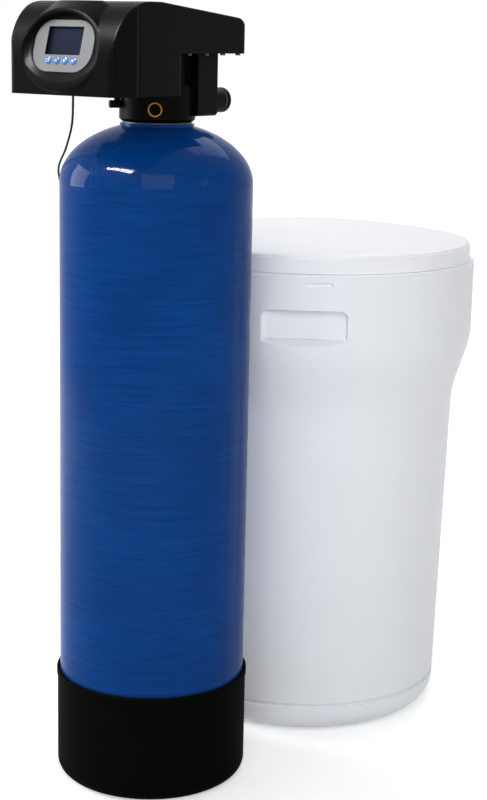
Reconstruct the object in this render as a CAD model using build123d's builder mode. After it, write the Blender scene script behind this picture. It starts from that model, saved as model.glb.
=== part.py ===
from build123d import *
import os
from math import acos, cos, hypot, pi, radians, sin, sqrt, tan

os.makedirs("parts", exist_ok=True)

# A softener set: a pressure vessel with a control valve on its neck, and a brine tank behind it.
# The origin is the centre of the vessel's foot on the floor. Sizes are in millimetres, angles in degrees.

# Fits
seat_gap = 0.3
running_gap = 0.05
slip_gap = 0.1
bond_gap = 0.2

# Pressure vessel
vessel_radius = 128.5
vessel_height = 908.0
dome_rise = 81.0
winding_wall = 3.0
winding_lip = 2.8
liner_wall = 3.0
neck_radius = 45.7
neck_rise = 5.2
neck_bore = 36.8
neck_depth = 42.0
boot_floor = 5.0
boot_wall = 3.2
boot_height = 151.4
boot_foot_round = 18.0
boot_bead = 1.2
boot_bead_height = 9.0
vessel_lift = 7.0
boot_ring_radius = 82.0
boot_ring_wall = 4.0

# Media and distributor
riser_radius = 13.35
riser_wall = 2.0
basket_radius = 30.0
basket_height = 46.0
basket_wall = 2.0
basket_slots = 24
slot_width = 1.6
gravel_top = 100.0
resin_top = 600.0
top_basket_radius = 25.0
top_basket_height = 34.0

# Valve body
collar_radius = 50.0
collar_height = 47.5
collar_chamfer = 3.0
stub_length = 28.0
annulus_radius = 30.0
annulus_depth = 45.0
riser_socket_radius = 17.5
chamber_radius = 44.0
chamber_top = 1012.0
disc_seat_radius = 38.0
disc_seat_depth = 16.0
passage_radius = 7.0
passage_ring = 22.0
side_passage_radius = 5.0
side_passage_x = 30.0
side_passage_y = 12.0
block_half_width = 56.0
block_front = 14.0
block_back = 57.0
block_bottom = 916.0
block_chamfer = 3.0
neck_ring_radius = 41.0
neck_ring_section = 1.65

# Service ports
port_spacing = 68.0
port_height = 935.0
port_radius = 16.6
port_bore = 10.5
port_length = 39.0
port_groove_place = 29.0
port_groove_width = 4.0
port_groove_depth = 2.2
drain_height = 965.0
drain_radius = 10.4
drain_bore = 6.5
drain_length = 23.0
brine_port_angle = 34.7
brine_port_height = 924.7
insert_radius = 9.4
insert_bore = 7.5
insert_length = 14.0
insert_proud = 0.4
plug_height = 929.8
plug_radius = 5.2
plug_stem_radius = 4.0
plug_stem_length = 10.0
plug_length = 14.6

# Flow meter in the outlet port
cage_length = 14.0
cage_wall = 1.2
cage_spoke = 2.0
cage_place = 21.0
impeller_blades = 6
impeller_radius = 8.7
impeller_hub = 2.2
impeller_pin = 0.8

# Injector in the valve body's left side
injector_y = 36.0
injector_height = 972.0
injector_radius = 6.9
injector_length = 40.0
injector_throat = 1.6
injector_cover_width = 34.0
injector_cover_height = 40.0
injector_cover_thickness = 6.0
injector_screw_spread = 24.0

# Rotary disc valve
fixed_disc_thickness = 5.0
moving_disc_thickness = 6.0
moving_disc_radius = 34.0
shaft_radius = 8.0
shaft_flange_radius = 14.0
shaft_flange_thickness = 4.2
shaft_key_width = 8.0
shaft_key_depth = 3.0
bonnet_wall = 5.6
bonnet_top = 4.0
bonnet_skirt = 11.0
bonnet_ribs = 18

# Drive train
gear_module = 2.0
gear_teeth = 60
pinion_teeth = 16
gear_width = 7.0
gear_gap = 0.3
gear_lift = 4.6
tooth_backlash = 0.3
pressure_angle = 20.0
hub_radius = 13.0
hub_height = 13.0
shaft_square = 11.0
motor_radius = 21.0
motor_height = 25.0
motor_offset = 16.0
motor_shaft_radius = 3.0
motor_flange_thickness = 2.0
motor_ear_spread = 27.0
motor_ear_radius = 5.0

# Control head cover
head_half_width = 87.8
head_front_half_width = 82.3
head_front = -193.0
head_shoulder = -153.0
head_back = 76.5
head_bottom = 944.5
overhang_bottom = 997.0
overhang_front = -65.0
roof_height = 1058.5
roof_slope = 0.097
roof_ridge = -105.0
brow_centre = -125.0
brow_height = 988.0
rear_round = 22.0
corner_round = 7.0
cover_wall = 3.0
seam_place = -150.0
plate_thickness = 3.0

# Display face
panel_tilt = 16.0
panel_x = -2.5
panel_y = -180.7
panel_height = 1009.7
panel_drop = 6.5
crest_tilt = 9.0
crest_y = -189.0
crest_height = 999.5
crest_half_width = 60.2
crest_half_height = 46.5
rim_width = 3.5
rim_taper = 35.0
pocket_half_width = 54.0
pocket_half_height = 37.5
label_width = 94.5
label_height = 64.5
label_round = 27.0
label_thickness = 0.8
window_width = 56.0
window_height = 35.0
window_round = 1.5
window_thickness = 1.6
window_depth = 4.6
display_depth = 10.8
display_margin = 3.0
board_depth = 14.4
board_width = 96.0
board_height = 60.0
board_thickness = 1.6
board_post_radius = 3.0
board_post_x = 42.0
board_post_y = 14.0
button_radius = 4.6
button_pitch = 13.4
button_drop = 25.0
button_proud = 1.6
button_travel = 0.8
button_flange = 1.2
button_flange_radius = 5.8
button_stem = 2.0
button_stem_length = 4.0
switch_size = 6.0

# Screws
screw_radius = 1.9
screw_head_radius = 3.3
screw_head_height = 2.4
cover_screw_x = 80.0
cover_screw_places = (-38.0, -2.0, 34.0, 68.0)
cover_screw_length = 14.0
cover_boss_radius = 6.0
plate_screw_x = 49.0
plate_screw_places = (24.0, 48.0)
plate_screw_length = 12.0

# Power lead
lead_radius = 1.5
gland_x = -42.4
gland_y = -119.4
gland_radius = 5.5
gland_flange_radius = 7.5
gland_flange = 1.5
coil_x = -188.0
coil_y = 128.0
coil_turns = 4
coil_inner_radius = 10.6
coil_pitch = 3.6
coil_tail = 7.0
adapter_width = 44.0
adapter_length = 62.0
adapter_height = 32.0
adapter_round = 5.0
relief_radius = 2.7
relief_length = 22.0
pin_radius = 2.0
pin_spread = 19.0
pin_length = 19.0

# Brine tank
tank_y = 385.0
tank_radius = 247.0
tank_band_height = 118.0
tank_wall = 4.0
tank_rim_lip = 15.0
tank_waist_height = 500.0
tank_shoulder_height = 80.0
tank_shoulder_step = 24.5
tank_taper = 10.5
tank_groove_height = 47.0
tank_groove_depth = 3.0
tank_base_round = 34.0
tank_shoulder_round = 130.0
tank_rim_round = 3.0
tank_rim_thickness = 5.0
tank_foot_pads = 6
foot_pad_radius = 11.0
foot_pad_height = 3.0
foot_pad_ring = 145.0
recess_direction = -59.0
recess_width = 124.0
recess_height = 46.0
recess_depth = 17.0
recess_rise = 45.0
recess_ledge = 14.0
recess_floor_round = 8.0
notch_direction = -54.5
notch_width = 38.0
notch_height = 5.0
notch_depth = 2.5
notch_drop = 14.0

# Brine tank lid
lid_step = 7.0
lid_wall = 3.5
lid_skirt = 22.0
lid_groove_width = 3.0
lid_groove_depth = 3.0
lid_rise = 47.0
lid_round = 8.0
lid_spigot_depth = 12.0

# Brine well, float valve and fittings
grid_height = 150.0
grid_thickness = 6.0
grid_hole_radius = 6.0
grid_hole_pitch = 34.0
grid_leg_radius = 16.0
grid_leg_wall = 2.5
grid_leg_ring = 120.0
well_direction = 160.0
well_offset = 105.0
well_radius = 52.0
well_wall = 2.5
well_drop = 38.0
well_cap_height = 16.0
well_slot_height = 40.0
well_slot_width = 6.0
rod_radius = 5.0
elbow_radius = 9.0
foot_valve_radius = 18.0
foot_valve_height = 60.0
float_radius = 24.0
float_height = 60.0
float_travel = 200.0
brine_line_rise = 42.0
brine_line_radius = 4.8
brine_line_bore = 3.2
brine_end_radius = 4.2
brine_end_length = 14.0
brine_line_reach = 24.0
brine_nut_radius = 10.0
brine_nut_height = 9.0
overflow_direction = 200.0
overflow_rise = 52.0
overflow_radius = 9.0
overflow_drop = 46.0
overflow_reach = 20.0
overflow_flange_radius = 18.0
overflow_flange = 3.0
overflow_wall = 2.0
overflow_nut_radius = 14.0
overflow_nut_height = 7.0

# Heights that follow from the sizes above
lower_dome = boot_floor + vessel_lift + dome_rise
neck_share = sqrt(1 - (neck_radius / vessel_radius) ** 2)
upper_dome = vessel_height - neck_rise - dome_rise * neck_share
liner_inset = winding_wall + bond_gap
media_inset = liner_inset + liner_wall + seat_gap
collar_bottom = vessel_height + seat_gap
collar_top = collar_bottom + collar_height
chamber_floor = chamber_top - disc_seat_depth
plate_top = overhang_bottom + plate_thickness


def vessel_form(inset):
    """Solid of the vessel's outer form, drawn in by the same amount all round."""
    radius = vessel_radius - inset
    rise = dome_rise - inset
    with BuildPart() as form:
        with BuildSketch(Plane.XZ):
            with BuildLine():
                EllipticalCenterArc((0, lower_dome), radius, rise, start_angle=270, arc_size=90)
                Line((radius, lower_dome), (radius, upper_dome))
                EllipticalCenterArc((0, upper_dome), radius, rise, start_angle=0, arc_size=90)
                Line((0, upper_dome + rise), (0, lower_dome - rise))
            make_face()
        revolve(axis=Axis.Z)
    return form.part


def dome_floor(inset, radius):
    """Height of the lower dome's surface at a radius, for a form drawn in by inset."""
    return lower_dome - (dome_rise - inset) * sqrt(1 - (radius / (vessel_radius - inset)) ** 2)


# Pressure vessel: wound shell, moulded liner, boot and filling

wound_form = vessel_form(0)
wound_bore = vessel_form(winding_wall)
with BuildPart() as vessel_winding:
    add(wound_form)
    add(wound_bore, mode=Mode.SUBTRACT)
    with BuildSketch(Plane.XY.offset(vessel_height - neck_rise - winding_wall / 2)):
        Circle(neck_radius + bond_gap + winding_wall)
    extrude(amount=winding_wall / 2 + winding_lip)
    with Locations((0, 0, vessel_height)):
        Cylinder(neck_radius + bond_gap, 2 * neck_depth, mode=Mode.SUBTRACT)
vessel_winding.part.label = "vessel_winding"
export_step(vessel_winding.part, "parts/vessel_winding.step")

liner_form = vessel_form(liner_inset)
liner_bore = vessel_form(liner_inset + liner_wall)
with BuildPart() as vessel_liner:
    add(liner_form)
    with BuildSketch(Plane.XY.offset(vessel_height - neck_depth)):
        Circle(neck_radius)
    extrude(amount=neck_depth)
    add(liner_bore, mode=Mode.SUBTRACT)
    with BuildSketch(Plane.XY.offset(vessel_height - neck_depth)):
        Circle(neck_radius)
    extrude(amount=neck_depth)
    with BuildSketch(Plane.XY.offset(vessel_height)):
        Circle(neck_bore)
    extrude(amount=-2 * neck_depth, mode=Mode.SUBTRACT)
    fillet(vessel_liner.faces().sort_by(Axis.Z)[-1].outer_wire().edges(), radius=1)
vessel_liner.part.label = "vessel_liner"
export_step(vessel_liner.part, "parts/vessel_liner.step")

boot_bore = vessel_radius + seat_gap
boot_radius = boot_bore + boot_wall
boot_ring_top = dome_floor(0, boot_ring_radius - boot_ring_wall / 2) - seat_gap
with BuildPart() as boot_cavity:
    with BuildSketch(Plane.XY.offset(boot_floor)):
        Circle(boot_bore)
    extrude(amount=boot_height)
    fillet(boot_cavity.edges().group_by(Axis.Z)[0], radius=boot_foot_round - boot_wall)

with BuildPart() as vessel_boot:
    with BuildSketch():
        Circle(boot_radius)
    extrude(amount=boot_height)
    fillet(vessel_boot.edges().group_by(Axis.Z)[0], radius=boot_foot_round)
    with BuildSketch(Plane.XY.offset(boot_height)):
        Circle(boot_radius + boot_bead)
    extrude(amount=-boot_bead_height)
    add(boot_cavity.part, mode=Mode.SUBTRACT)
    with BuildSketch(Plane.XY.offset(boot_floor)):
        Circle(boot_ring_radius + boot_ring_wall / 2)
        Circle(boot_ring_radius - boot_ring_wall / 2, mode=Mode.SUBTRACT)
    extrude(amount=boot_ring_top - boot_floor)
    fillet(vessel_boot.faces().sort_by(Axis.Z)[-1].edges(), radius=1)
vessel_boot.part.label = "vessel_boot"
export_step(vessel_boot.part, "parts/vessel_boot.step")

basket_bottom = dome_floor(media_inset - seat_gap, basket_radius) + seat_gap
basket_top = basket_bottom + basket_height
riser_top = collar_bottom + annulus_depth / 3
with BuildPart() as riser_tube:
    with BuildSketch(Plane.XY.offset(basket_top - basket_wall - 8)):
        Circle(riser_radius)
        Circle(riser_radius - riser_wall, mode=Mode.SUBTRACT)
    extrude(amount=riser_top - basket_top + basket_wall + 8)
riser_tube.part.label = "riser_tube"
export_step(riser_tube.part, "parts/riser_tube.step")

with BuildPart() as bottom_basket:
    with BuildSketch(Plane.XY.offset(basket_bottom)):
        Circle(basket_radius)
    extrude(amount=basket_height)
    with BuildSketch(Plane.XY.offset(basket_bottom + basket_wall)):
        Circle(basket_radius - basket_wall)
    extrude(amount=basket_height - 2 * basket_wall, mode=Mode.SUBTRACT)
    with BuildSketch(Plane.XY.offset(basket_top - basket_wall - 6)):
        Circle(riser_radius + slip_gap + 2)
    extrude(amount=14)
    with BuildSketch(Plane.XY.offset(basket_top - basket_wall - 8)):
        Circle(riser_radius + slip_gap)
    extrude(amount=20, mode=Mode.SUBTRACT)
    with PolarLocations(basket_radius - basket_wall / 2, basket_slots):
        with Locations((0, 0, (basket_bottom + basket_top) / 2)):
            Box(3 * basket_wall, slot_width, basket_height - 8 * basket_wall, mode=Mode.SUBTRACT)
bottom_basket.part.label = "bottom_basket"
export_step(bottom_basket.part, "parts/bottom_basket.step")

media_form = vessel_form(media_inset)
with BuildPart() as gravel_bed:
    add(media_form)
    split(bisect_by=Plane.XY.offset(gravel_top), keep=Keep.BOTTOM)
    with BuildSketch():
        Circle(riser_radius + slip_gap + 2 + seat_gap)
    extrude(amount=gravel_top, mode=Mode.SUBTRACT)
    with BuildSketch():
        Circle(basket_radius + seat_gap)
    extrude(amount=basket_top + seat_gap, mode=Mode.SUBTRACT)
gravel_bed.part.label = "gravel_bed"
export_step(gravel_bed.part, "parts/gravel_bed.step")

with BuildPart() as resin_bed:
    with BuildSketch(Plane.XY.offset(gravel_top + seat_gap)):
        Circle(vessel_radius - media_inset)
        Circle(riser_radius + seat_gap, mode=Mode.SUBTRACT)
    extrude(amount=resin_top - gravel_top - seat_gap)
resin_bed.part.label = "resin_bed"
export_step(resin_bed.part, "parts/resin_bed.step")

stub_bottom = collar_bottom - stub_length
top_basket_bottom = stub_bottom - top_basket_height
with BuildPart() as top_basket:
    with BuildSketch(Plane.XY.offset(top_basket_bottom)):
        Circle(top_basket_radius)
        Circle(riser_radius + slip_gap, mode=Mode.SUBTRACT)
    extrude(amount=top_basket_height - seat_gap)
    with BuildSketch(Plane.XY.offset(top_basket_bottom + basket_wall)):
        Circle(top_basket_radius - basket_wall)
        Circle(riser_radius + slip_gap + basket_wall, mode=Mode.SUBTRACT)
    extrude(amount=top_basket_height, mode=Mode.SUBTRACT)
    with BuildSketch(Plane.XY.offset(stub_bottom - seat_gap)):
        Circle(annulus_radius - slip_gap)
        Circle(top_basket_radius - basket_wall, mode=Mode.SUBTRACT)
    extrude(amount=-basket_wall)
    with BuildSketch(Plane.XY.offset(stub_bottom - seat_gap)):
        Circle(annulus_radius - slip_gap)
        Circle(annulus_radius - slip_gap - basket_wall, mode=Mode.SUBTRACT)
    extrude(amount=6)
    with PolarLocations(top_basket_radius - basket_wall / 2, basket_slots):
        with Locations((0, 0, top_basket_bottom + top_basket_height / 2)):
            Box(3 * basket_wall, slot_width, top_basket_height - 6 * basket_wall, mode=Mode.SUBTRACT)
top_basket.part.label = "top_basket"
export_step(top_basket.part, "parts/top_basket.step")

neck_ring_height = vessel_height + running_gap + neck_ring_section
with BuildPart() as neck_o_ring:
    with Locations((0, 0, neck_ring_height)):
        Torus(neck_ring_radius, neck_ring_section)
neck_o_ring.part.label = "neck_o_ring"
export_step(neck_o_ring.part, "parts/neck_o_ring.step")

# Valve body with its ports

block_top = overhang_bottom - seat_gap
port_sides = (-port_spacing / 2, port_spacing / 2)
drain_plane = Plane(origin=(0, block_back, drain_height), x_dir=(1, 0, 0), z_dir=(0, 1, 0))


def port_plane(x, depth=0.0):
    """Plane across a service port, a depth behind the valve body's rear face, facing +Y."""
    return Plane(origin=(x, block_back + depth, port_height), x_dir=(1, 0, 0), z_dir=(0, 1, 0))


def collar_plane(angle, height):
    """Plane on the collar's face, at an angle from -Y towards +X, facing outwards."""
    direction = Vector(sin(radians(angle)), -cos(radians(angle)), 0)
    return Plane(origin=direction * collar_radius + Vector(0, 0, height), x_dir=(0, 0, 1), z_dir=direction)


insert_plane = collar_plane(brine_port_angle, brine_port_height)
plug_plane = collar_plane(-brine_port_angle, plug_height)
injector_face = (-block_half_width, injector_y, injector_height)
injector_plane = Plane(origin=injector_face, x_dir=(0, 1, 0), z_dir=(-1, 0, 0))
passage_places = [(0, passage_ring)]
passage_places += [(side * passage_ring * cos(radians(30)), -passage_ring / 2) for side in (-1, 1)]
side_places = [(side * side_passage_x, side_passage_y) for side in (-1, 1)]

with BuildPart() as valve_body:
    with BuildSketch(Plane.XY.offset(collar_bottom)):
        Circle(collar_radius)
    extrude(amount=collar_height)
    chamfer(valve_body.edges().group_by(Axis.Z)[0], length=collar_chamfer)
    with BuildSketch(Plane.XY.offset(collar_top)):
        Circle(chamber_radius)
    extrude(amount=chamber_top - collar_top)
    with BuildSketch(Plane.XY.offset(block_bottom)):
        with Locations((0, (block_front + block_back) / 2)):
            Rectangle(2 * block_half_width, block_back - block_front)
    extrude(amount=block_top - block_bottom)
    block_edges = valve_body.edges().filter_by(Axis.Y).group_by(Axis.Z)[0]
    chamfer(block_edges, length=block_chamfer)
    with BuildSketch(Plane.XY.offset(collar_bottom)):
        Circle(neck_bore - bond_gap)
    extrude(amount=-stub_length)
    for x in port_sides:
        with BuildSketch(port_plane(x)):
            Circle(port_radius)
        extrude(amount=port_length)
        chamfer(valve_body.faces().sort_by(Axis.Y)[-1].outer_wire().edges(), length=1)
        with BuildSketch(port_plane(x, port_groove_place)):
            Circle(port_radius + 1)
            Circle(port_radius - port_groove_depth, mode=Mode.SUBTRACT)
        extrude(amount=port_groove_width, mode=Mode.SUBTRACT)
    with BuildSketch(drain_plane):
        Circle(drain_radius)
    extrude(amount=drain_length)
    with BuildSketch(Plane.XY.offset(stub_bottom)):
        Circle(annulus_radius)
        Circle(riser_socket_radius, mode=Mode.SUBTRACT)
    extrude(amount=annulus_depth, mode=Mode.SUBTRACT)
    with BuildSketch(Plane.XY.offset(stub_bottom)):
        Circle(riser_radius + slip_gap)
    extrude(amount=annulus_depth + 5, mode=Mode.SUBTRACT)
    with BuildSketch(Plane.XY.offset(collar_bottom)):
        Circle(neck_ring_radius + 2 * neck_ring_section)
        Circle(neck_ring_radius - 2 * neck_ring_section, mode=Mode.SUBTRACT)
    extrude(amount=2 * neck_ring_section, mode=Mode.SUBTRACT)
    with BuildSketch(Plane.XY.offset(chamber_floor)):
        Circle(disc_seat_radius)
    extrude(amount=disc_seat_depth, mode=Mode.SUBTRACT)
    with BuildSketch(Plane.XY.offset(chamber_floor)):
        with Locations(passage_places[0]):
            Circle(passage_radius)
    extrude(amount=drain_height - chamber_floor, mode=Mode.SUBTRACT)
    with BuildSketch(Plane.XY.offset(chamber_floor)):
        with Locations(*passage_places[1:]):
            Circle(passage_radius)
    extrude(amount=stub_bottom + annulus_depth - chamber_floor - 5, mode=Mode.SUBTRACT)
    with BuildSketch(Plane.XY.offset(chamber_floor)):
        with Locations(*side_places):
            Circle(side_passage_radius)
    extrude(amount=port_height - chamber_floor, mode=Mode.SUBTRACT)
    for x in port_sides:
        with BuildSketch(port_plane(x, port_length)):
            Circle(port_bore)
        extrude(amount=side_passage_y - block_back - port_length, mode=Mode.SUBTRACT)
    with BuildSketch(drain_plane.offset(drain_length)):
        Circle(drain_bore)
    extrude(amount=passage_ring - block_back - drain_length, mode=Mode.SUBTRACT)
    with BuildSketch(insert_plane):
        Circle(insert_radius + running_gap)
    extrude(amount=-insert_length - seat_gap, mode=Mode.SUBTRACT)
    with BuildSketch(plug_plane):
        Circle(plug_stem_radius + running_gap)
    extrude(amount=-plug_stem_length - seat_gap, mode=Mode.SUBTRACT)
    with BuildSketch(injector_plane):
        Circle(injector_radius + running_gap)
    extrude(amount=-injector_length - seat_gap, mode=Mode.SUBTRACT)
    with BuildSketch(injector_plane):
        with GridLocations(injector_screw_spread, injector_screw_spread, 2, 2):
            Circle(screw_radius + running_gap)
    extrude(amount=-plate_screw_length, mode=Mode.SUBTRACT)
    with BuildSketch(Plane.XY.offset(block_top)):
        for side in (-1, 1):
            with Locations(*[(side * plate_screw_x, y) for y in plate_screw_places]):
                Circle(screw_radius + running_gap)
    extrude(amount=plate_thickness - plate_screw_length, mode=Mode.SUBTRACT)
valve_body.part.label = "valve_body"
export_step(valve_body.part, "parts/valve_body.step")

with BuildPart() as port_o_rings:
    ring_section = (port_groove_depth - running_gap) / 2
    for x in port_sides:
        with Locations(port_plane(x, port_groove_place + port_groove_width / 2)):
            Torus(port_radius - port_groove_depth + ring_section + running_gap, ring_section)
port_o_rings.part.label = "port_o_rings"
export_step(port_o_rings.part, "parts/port_o_rings.step")

with BuildPart() as brine_port_insert:
    with BuildSketch(insert_plane.offset(insert_proud)):
        Circle(insert_radius)
        Circle(insert_bore, mode=Mode.SUBTRACT)
    extrude(amount=-insert_length - insert_proud)
brine_port_insert.part.label = "brine_port_insert"
export_step(brine_port_insert.part, "parts/brine_port_insert.step")

with BuildPart() as blanking_plug:
    with BuildSketch(plug_plane.offset(seat_gap)):
        RegularPolygon(plug_radius, 6)
    extrude(amount=plug_length)
    fillet(blanking_plug.edges().group_by(SortBy.LENGTH)[-1], radius=0.8)
    with BuildSketch(plug_plane.offset(seat_gap)):
        Circle(plug_stem_radius)
    extrude(amount=-plug_stem_length)
    with BuildSketch(plug_plane.offset(seat_gap + 1)):
        with Locations((plug_radius + 1.5, 0)):
            Rectangle(6, 4)
    extrude(amount=7)
blanking_plug.part.label = "blanking_plug"
export_step(blanking_plug.part, "parts/blanking_plug.step")

with BuildPart() as injector_nozzle:
    with BuildSketch(injector_plane):
        Circle(injector_radius)
        Circle(injector_throat, mode=Mode.SUBTRACT)
    extrude(amount=-injector_length)
    with BuildSketch(injector_plane.offset(-injector_length / 2)):
        Circle(injector_radius + 1)
        Circle(injector_radius - 2, mode=Mode.SUBTRACT)
    extrude(amount=-injector_length / 5, mode=Mode.SUBTRACT)
injector_nozzle.part.label = "injector_nozzle"
export_step(injector_nozzle.part, "parts/injector_nozzle.step")

with BuildPart() as injector_cover:
    with BuildSketch(injector_plane.offset(bond_gap)):
        RectangleRounded(injector_cover_width, injector_cover_height, 4)
        with GridLocations(injector_screw_spread, injector_screw_spread, 2, 2):
            Circle(screw_radius + running_gap, mode=Mode.SUBTRACT)
    extrude(amount=injector_cover_thickness)
injector_cover.part.label = "injector_cover"
export_step(injector_cover.part, "parts/injector_cover.step")

with BuildPart() as injector_screws:
    head_plane = injector_plane.offset(bond_gap + injector_cover_thickness + running_gap)
    with BuildSketch(head_plane):
        with GridLocations(injector_screw_spread, injector_screw_spread, 2, 2):
            Circle(screw_head_radius)
    extrude(amount=screw_head_height)
    with BuildSketch(head_plane):
        with GridLocations(injector_screw_spread, injector_screw_spread, 2, 2):
            Circle(screw_radius)
    extrude(amount=-plate_screw_length)
injector_screws.part.label = "injector_screws"
export_step(injector_screws.part, "parts/injector_screws.step")

# Turbine meter in the outlet port

outlet_x = port_spacing / 2
cage_radius = port_bore - slip_gap
with BuildPart() as flow_cage:
    with BuildSketch(port_plane(outlet_x, cage_place)):
        Circle(cage_radius)
        Circle(cage_radius - cage_wall, mode=Mode.SUBTRACT)
    extrude(amount=cage_length)
    for place in (cage_place, cage_place + cage_length - cage_spoke):
        with BuildSketch(port_plane(outlet_x, place)):
            with PolarLocations(0, 3):
                with Locations((cage_radius / 2, 0)):
                    Rectangle(cage_radius - cage_wall / 2, cage_spoke)
            Circle(impeller_hub + 0.6)
            Circle(impeller_pin + running_gap, mode=Mode.SUBTRACT)
        extrude(amount=cage_spoke)
flow_cage.part.label = "flow_cage"
export_step(flow_cage.part, "parts/flow_cage.step")

impeller_length = cage_length - 2 * cage_spoke - 2 * seat_gap
with BuildPart() as flow_impeller:
    with BuildSketch(port_plane(outlet_x, cage_place + cage_spoke + seat_gap)):
        Circle(impeller_hub)
    extrude(amount=impeller_length)
    for index in range(impeller_blades):
        turn = Rotation(0, 360 / impeller_blades * index, 0)
        centre = Pos(outlet_x, block_back + cage_place + cage_length / 2, port_height)
        blade_reach = impeller_radius - impeller_hub / 2
        lean = Rotation(0, 0, 22)
        blade = centre * turn * Pos(0, 0, impeller_hub / 2 + blade_reach / 2) * lean
        add(blade * Box(1.2, impeller_length - 1, blade_reach, mode=Mode.PRIVATE))
    with BuildSketch(port_plane(outlet_x, cage_place + slip_gap)):
        Circle(impeller_pin)
    extrude(amount=cage_length - 2 * slip_gap)
flow_impeller.part.label = "flow_impeller"
export_step(flow_impeller.part, "parts/flow_impeller.step")

# Rotary disc valve

fixed_disc_bottom = chamber_floor + slip_gap
fixed_disc_top = fixed_disc_bottom + fixed_disc_thickness
moving_disc_bottom = fixed_disc_top + slip_gap
moving_disc_top = moving_disc_bottom + moving_disc_thickness
shaft_flange_bottom = moving_disc_top + slip_gap
shaft_flange_top = shaft_flange_bottom + shaft_flange_thickness
bonnet_bottom = chamber_top + seat_gap
bonnet_face = bonnet_bottom + bonnet_top
gear_bottom = bonnet_face + gear_lift
gear_top = gear_bottom + gear_width

with BuildPart() as fixed_disc:
    with BuildSketch(Plane.XY.offset(fixed_disc_bottom)):
        Circle(disc_seat_radius - slip_gap)
        with Locations(*passage_places):
            Circle(passage_radius, mode=Mode.SUBTRACT)
        with Locations(*side_places):
            Circle(side_passage_radius, mode=Mode.SUBTRACT)
    extrude(amount=fixed_disc_thickness)
fixed_disc.part.label = "fixed_disc"
export_step(fixed_disc.part, "parts/fixed_disc.step")

with BuildPart() as moving_disc:
    with BuildSketch(Plane.XY.offset(moving_disc_bottom)):
        Circle(moving_disc_radius)
    extrude(amount=moving_disc_thickness)
    with BuildSketch(Plane.XY.offset(moving_disc_bottom)):
        SlotArc(CenterArc((0, 0), passage_ring, 100, 120, mode=Mode.PRIVATE), passage_radius)
    extrude(amount=moving_disc_thickness / 2, mode=Mode.SUBTRACT)
    with BuildSketch(Plane.XY.offset(moving_disc_top)):
        Rectangle(2 * shaft_flange_radius, shaft_key_width)
    extrude(amount=-shaft_key_depth, mode=Mode.SUBTRACT)
moving_disc.part.label = "moving_disc"
export_step(moving_disc.part, "parts/moving_disc.step")

with BuildPart() as disc_shaft:
    with BuildSketch(Plane.XY.offset(shaft_flange_bottom)):
        Circle(shaft_flange_radius)
    extrude(amount=shaft_flange_thickness)
    with BuildSketch(Plane.XY.offset(shaft_flange_bottom)):
        Rectangle(2 * shaft_flange_radius - 2, shaft_key_width - 2 * slip_gap)
    extrude(amount=-shaft_key_depth + slip_gap)
    with BuildSketch(Plane.XY.offset(shaft_flange_top)):
        Circle(shaft_radius)
    extrude(amount=gear_bottom - shaft_flange_top - seat_gap)
    with BuildSketch(Plane.XY.offset(gear_bottom - seat_gap)):
        Rectangle(shaft_square, shaft_square)
    extrude(amount=hub_height)
    with Locations((0, 0, gear_bottom - seat_gap + hub_height)):
        Hole(screw_radius + running_gap, depth=plate_screw_length)
disc_shaft.part.label = "disc_shaft"
export_step(disc_shaft.part, "parts/disc_shaft.step")

bonnet_bore = chamber_radius + bond_gap
bonnet_radius = bonnet_bore + bonnet_wall
with BuildPart() as bonnet_nut:
    with BuildSketch(Plane.XY.offset(bonnet_face)):
        Circle(bonnet_radius)
        with PolarLocations(bonnet_radius, bonnet_ribs):
            Rectangle(2.4, 4, mode=Mode.SUBTRACT)
    extrude(amount=-bonnet_top - bonnet_skirt)
    with BuildSketch(Plane.XY.offset(bonnet_bottom)):
        Circle(bonnet_bore)
    extrude(amount=-bonnet_skirt - 1, mode=Mode.SUBTRACT)
    with Locations((0, 0, bonnet_face)):
        Hole(shaft_radius + running_gap)
bonnet_nut.part.label = "bonnet_nut"
export_step(bonnet_nut.part, "parts/bonnet_nut.step")

# Drive train: big gear on the disc shaft, pinion on the motor


def gear_outline(teeth, shift_angle):
    """Corner points of a spur gear: root, pitch and tip on both flanks of each tooth."""
    pitch = gear_module * teeth / 2
    base = pitch * cos(radians(pressure_angle))
    half_pitch = pi / (2 * teeth) - tooth_backlash / (2 * pitch)
    involute_pitch = tan(radians(pressure_angle)) - radians(pressure_angle)
    radii = [pitch - 1.25 * gear_module, max(base, pitch - 0.6 * gear_module), pitch]
    radii += [pitch + 0.45 * gear_module, pitch + 0.9 * gear_module]

    def half_angle(radius):
        slope = acos(min(1, base / radius))
        return half_pitch + involute_pitch - (tan(slope) - slope)

    points = []
    for index in range(teeth):
        centre = 2 * pi * index / teeth + radians(shift_angle)
        flank = [(radius, half_angle(radius)) for radius in radii]
        points += [(r * cos(centre - a), r * sin(centre - a)) for r, a in flank]
        points += [(r * cos(centre + a), r * sin(centre + a)) for r, a in reversed(flank)]
    return points


pinion_y = -(gear_teeth + pinion_teeth) * gear_module / 2 - gear_gap
with BuildPart() as drive_gear:
    with BuildSketch(Plane.XY.offset(gear_bottom)):
        with BuildLine():
            Polyline(*gear_outline(gear_teeth, -90), close=True)
        make_face()
        with PolarLocations(36, 6):
            Circle(9, mode=Mode.SUBTRACT)
    extrude(amount=gear_width)
    with BuildSketch(Plane.XY.offset(gear_bottom)):
        Circle(hub_radius)
    extrude(amount=hub_height - seat_gap)
    with BuildSketch(Plane.XY.offset(gear_bottom)):
        Rectangle(shaft_square + 2 * running_gap, shaft_square + 2 * running_gap)
    extrude(amount=hub_height, mode=Mode.SUBTRACT)
drive_gear.part.label = "drive_gear"
export_step(drive_gear.part, "parts/drive_gear.step")

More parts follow.
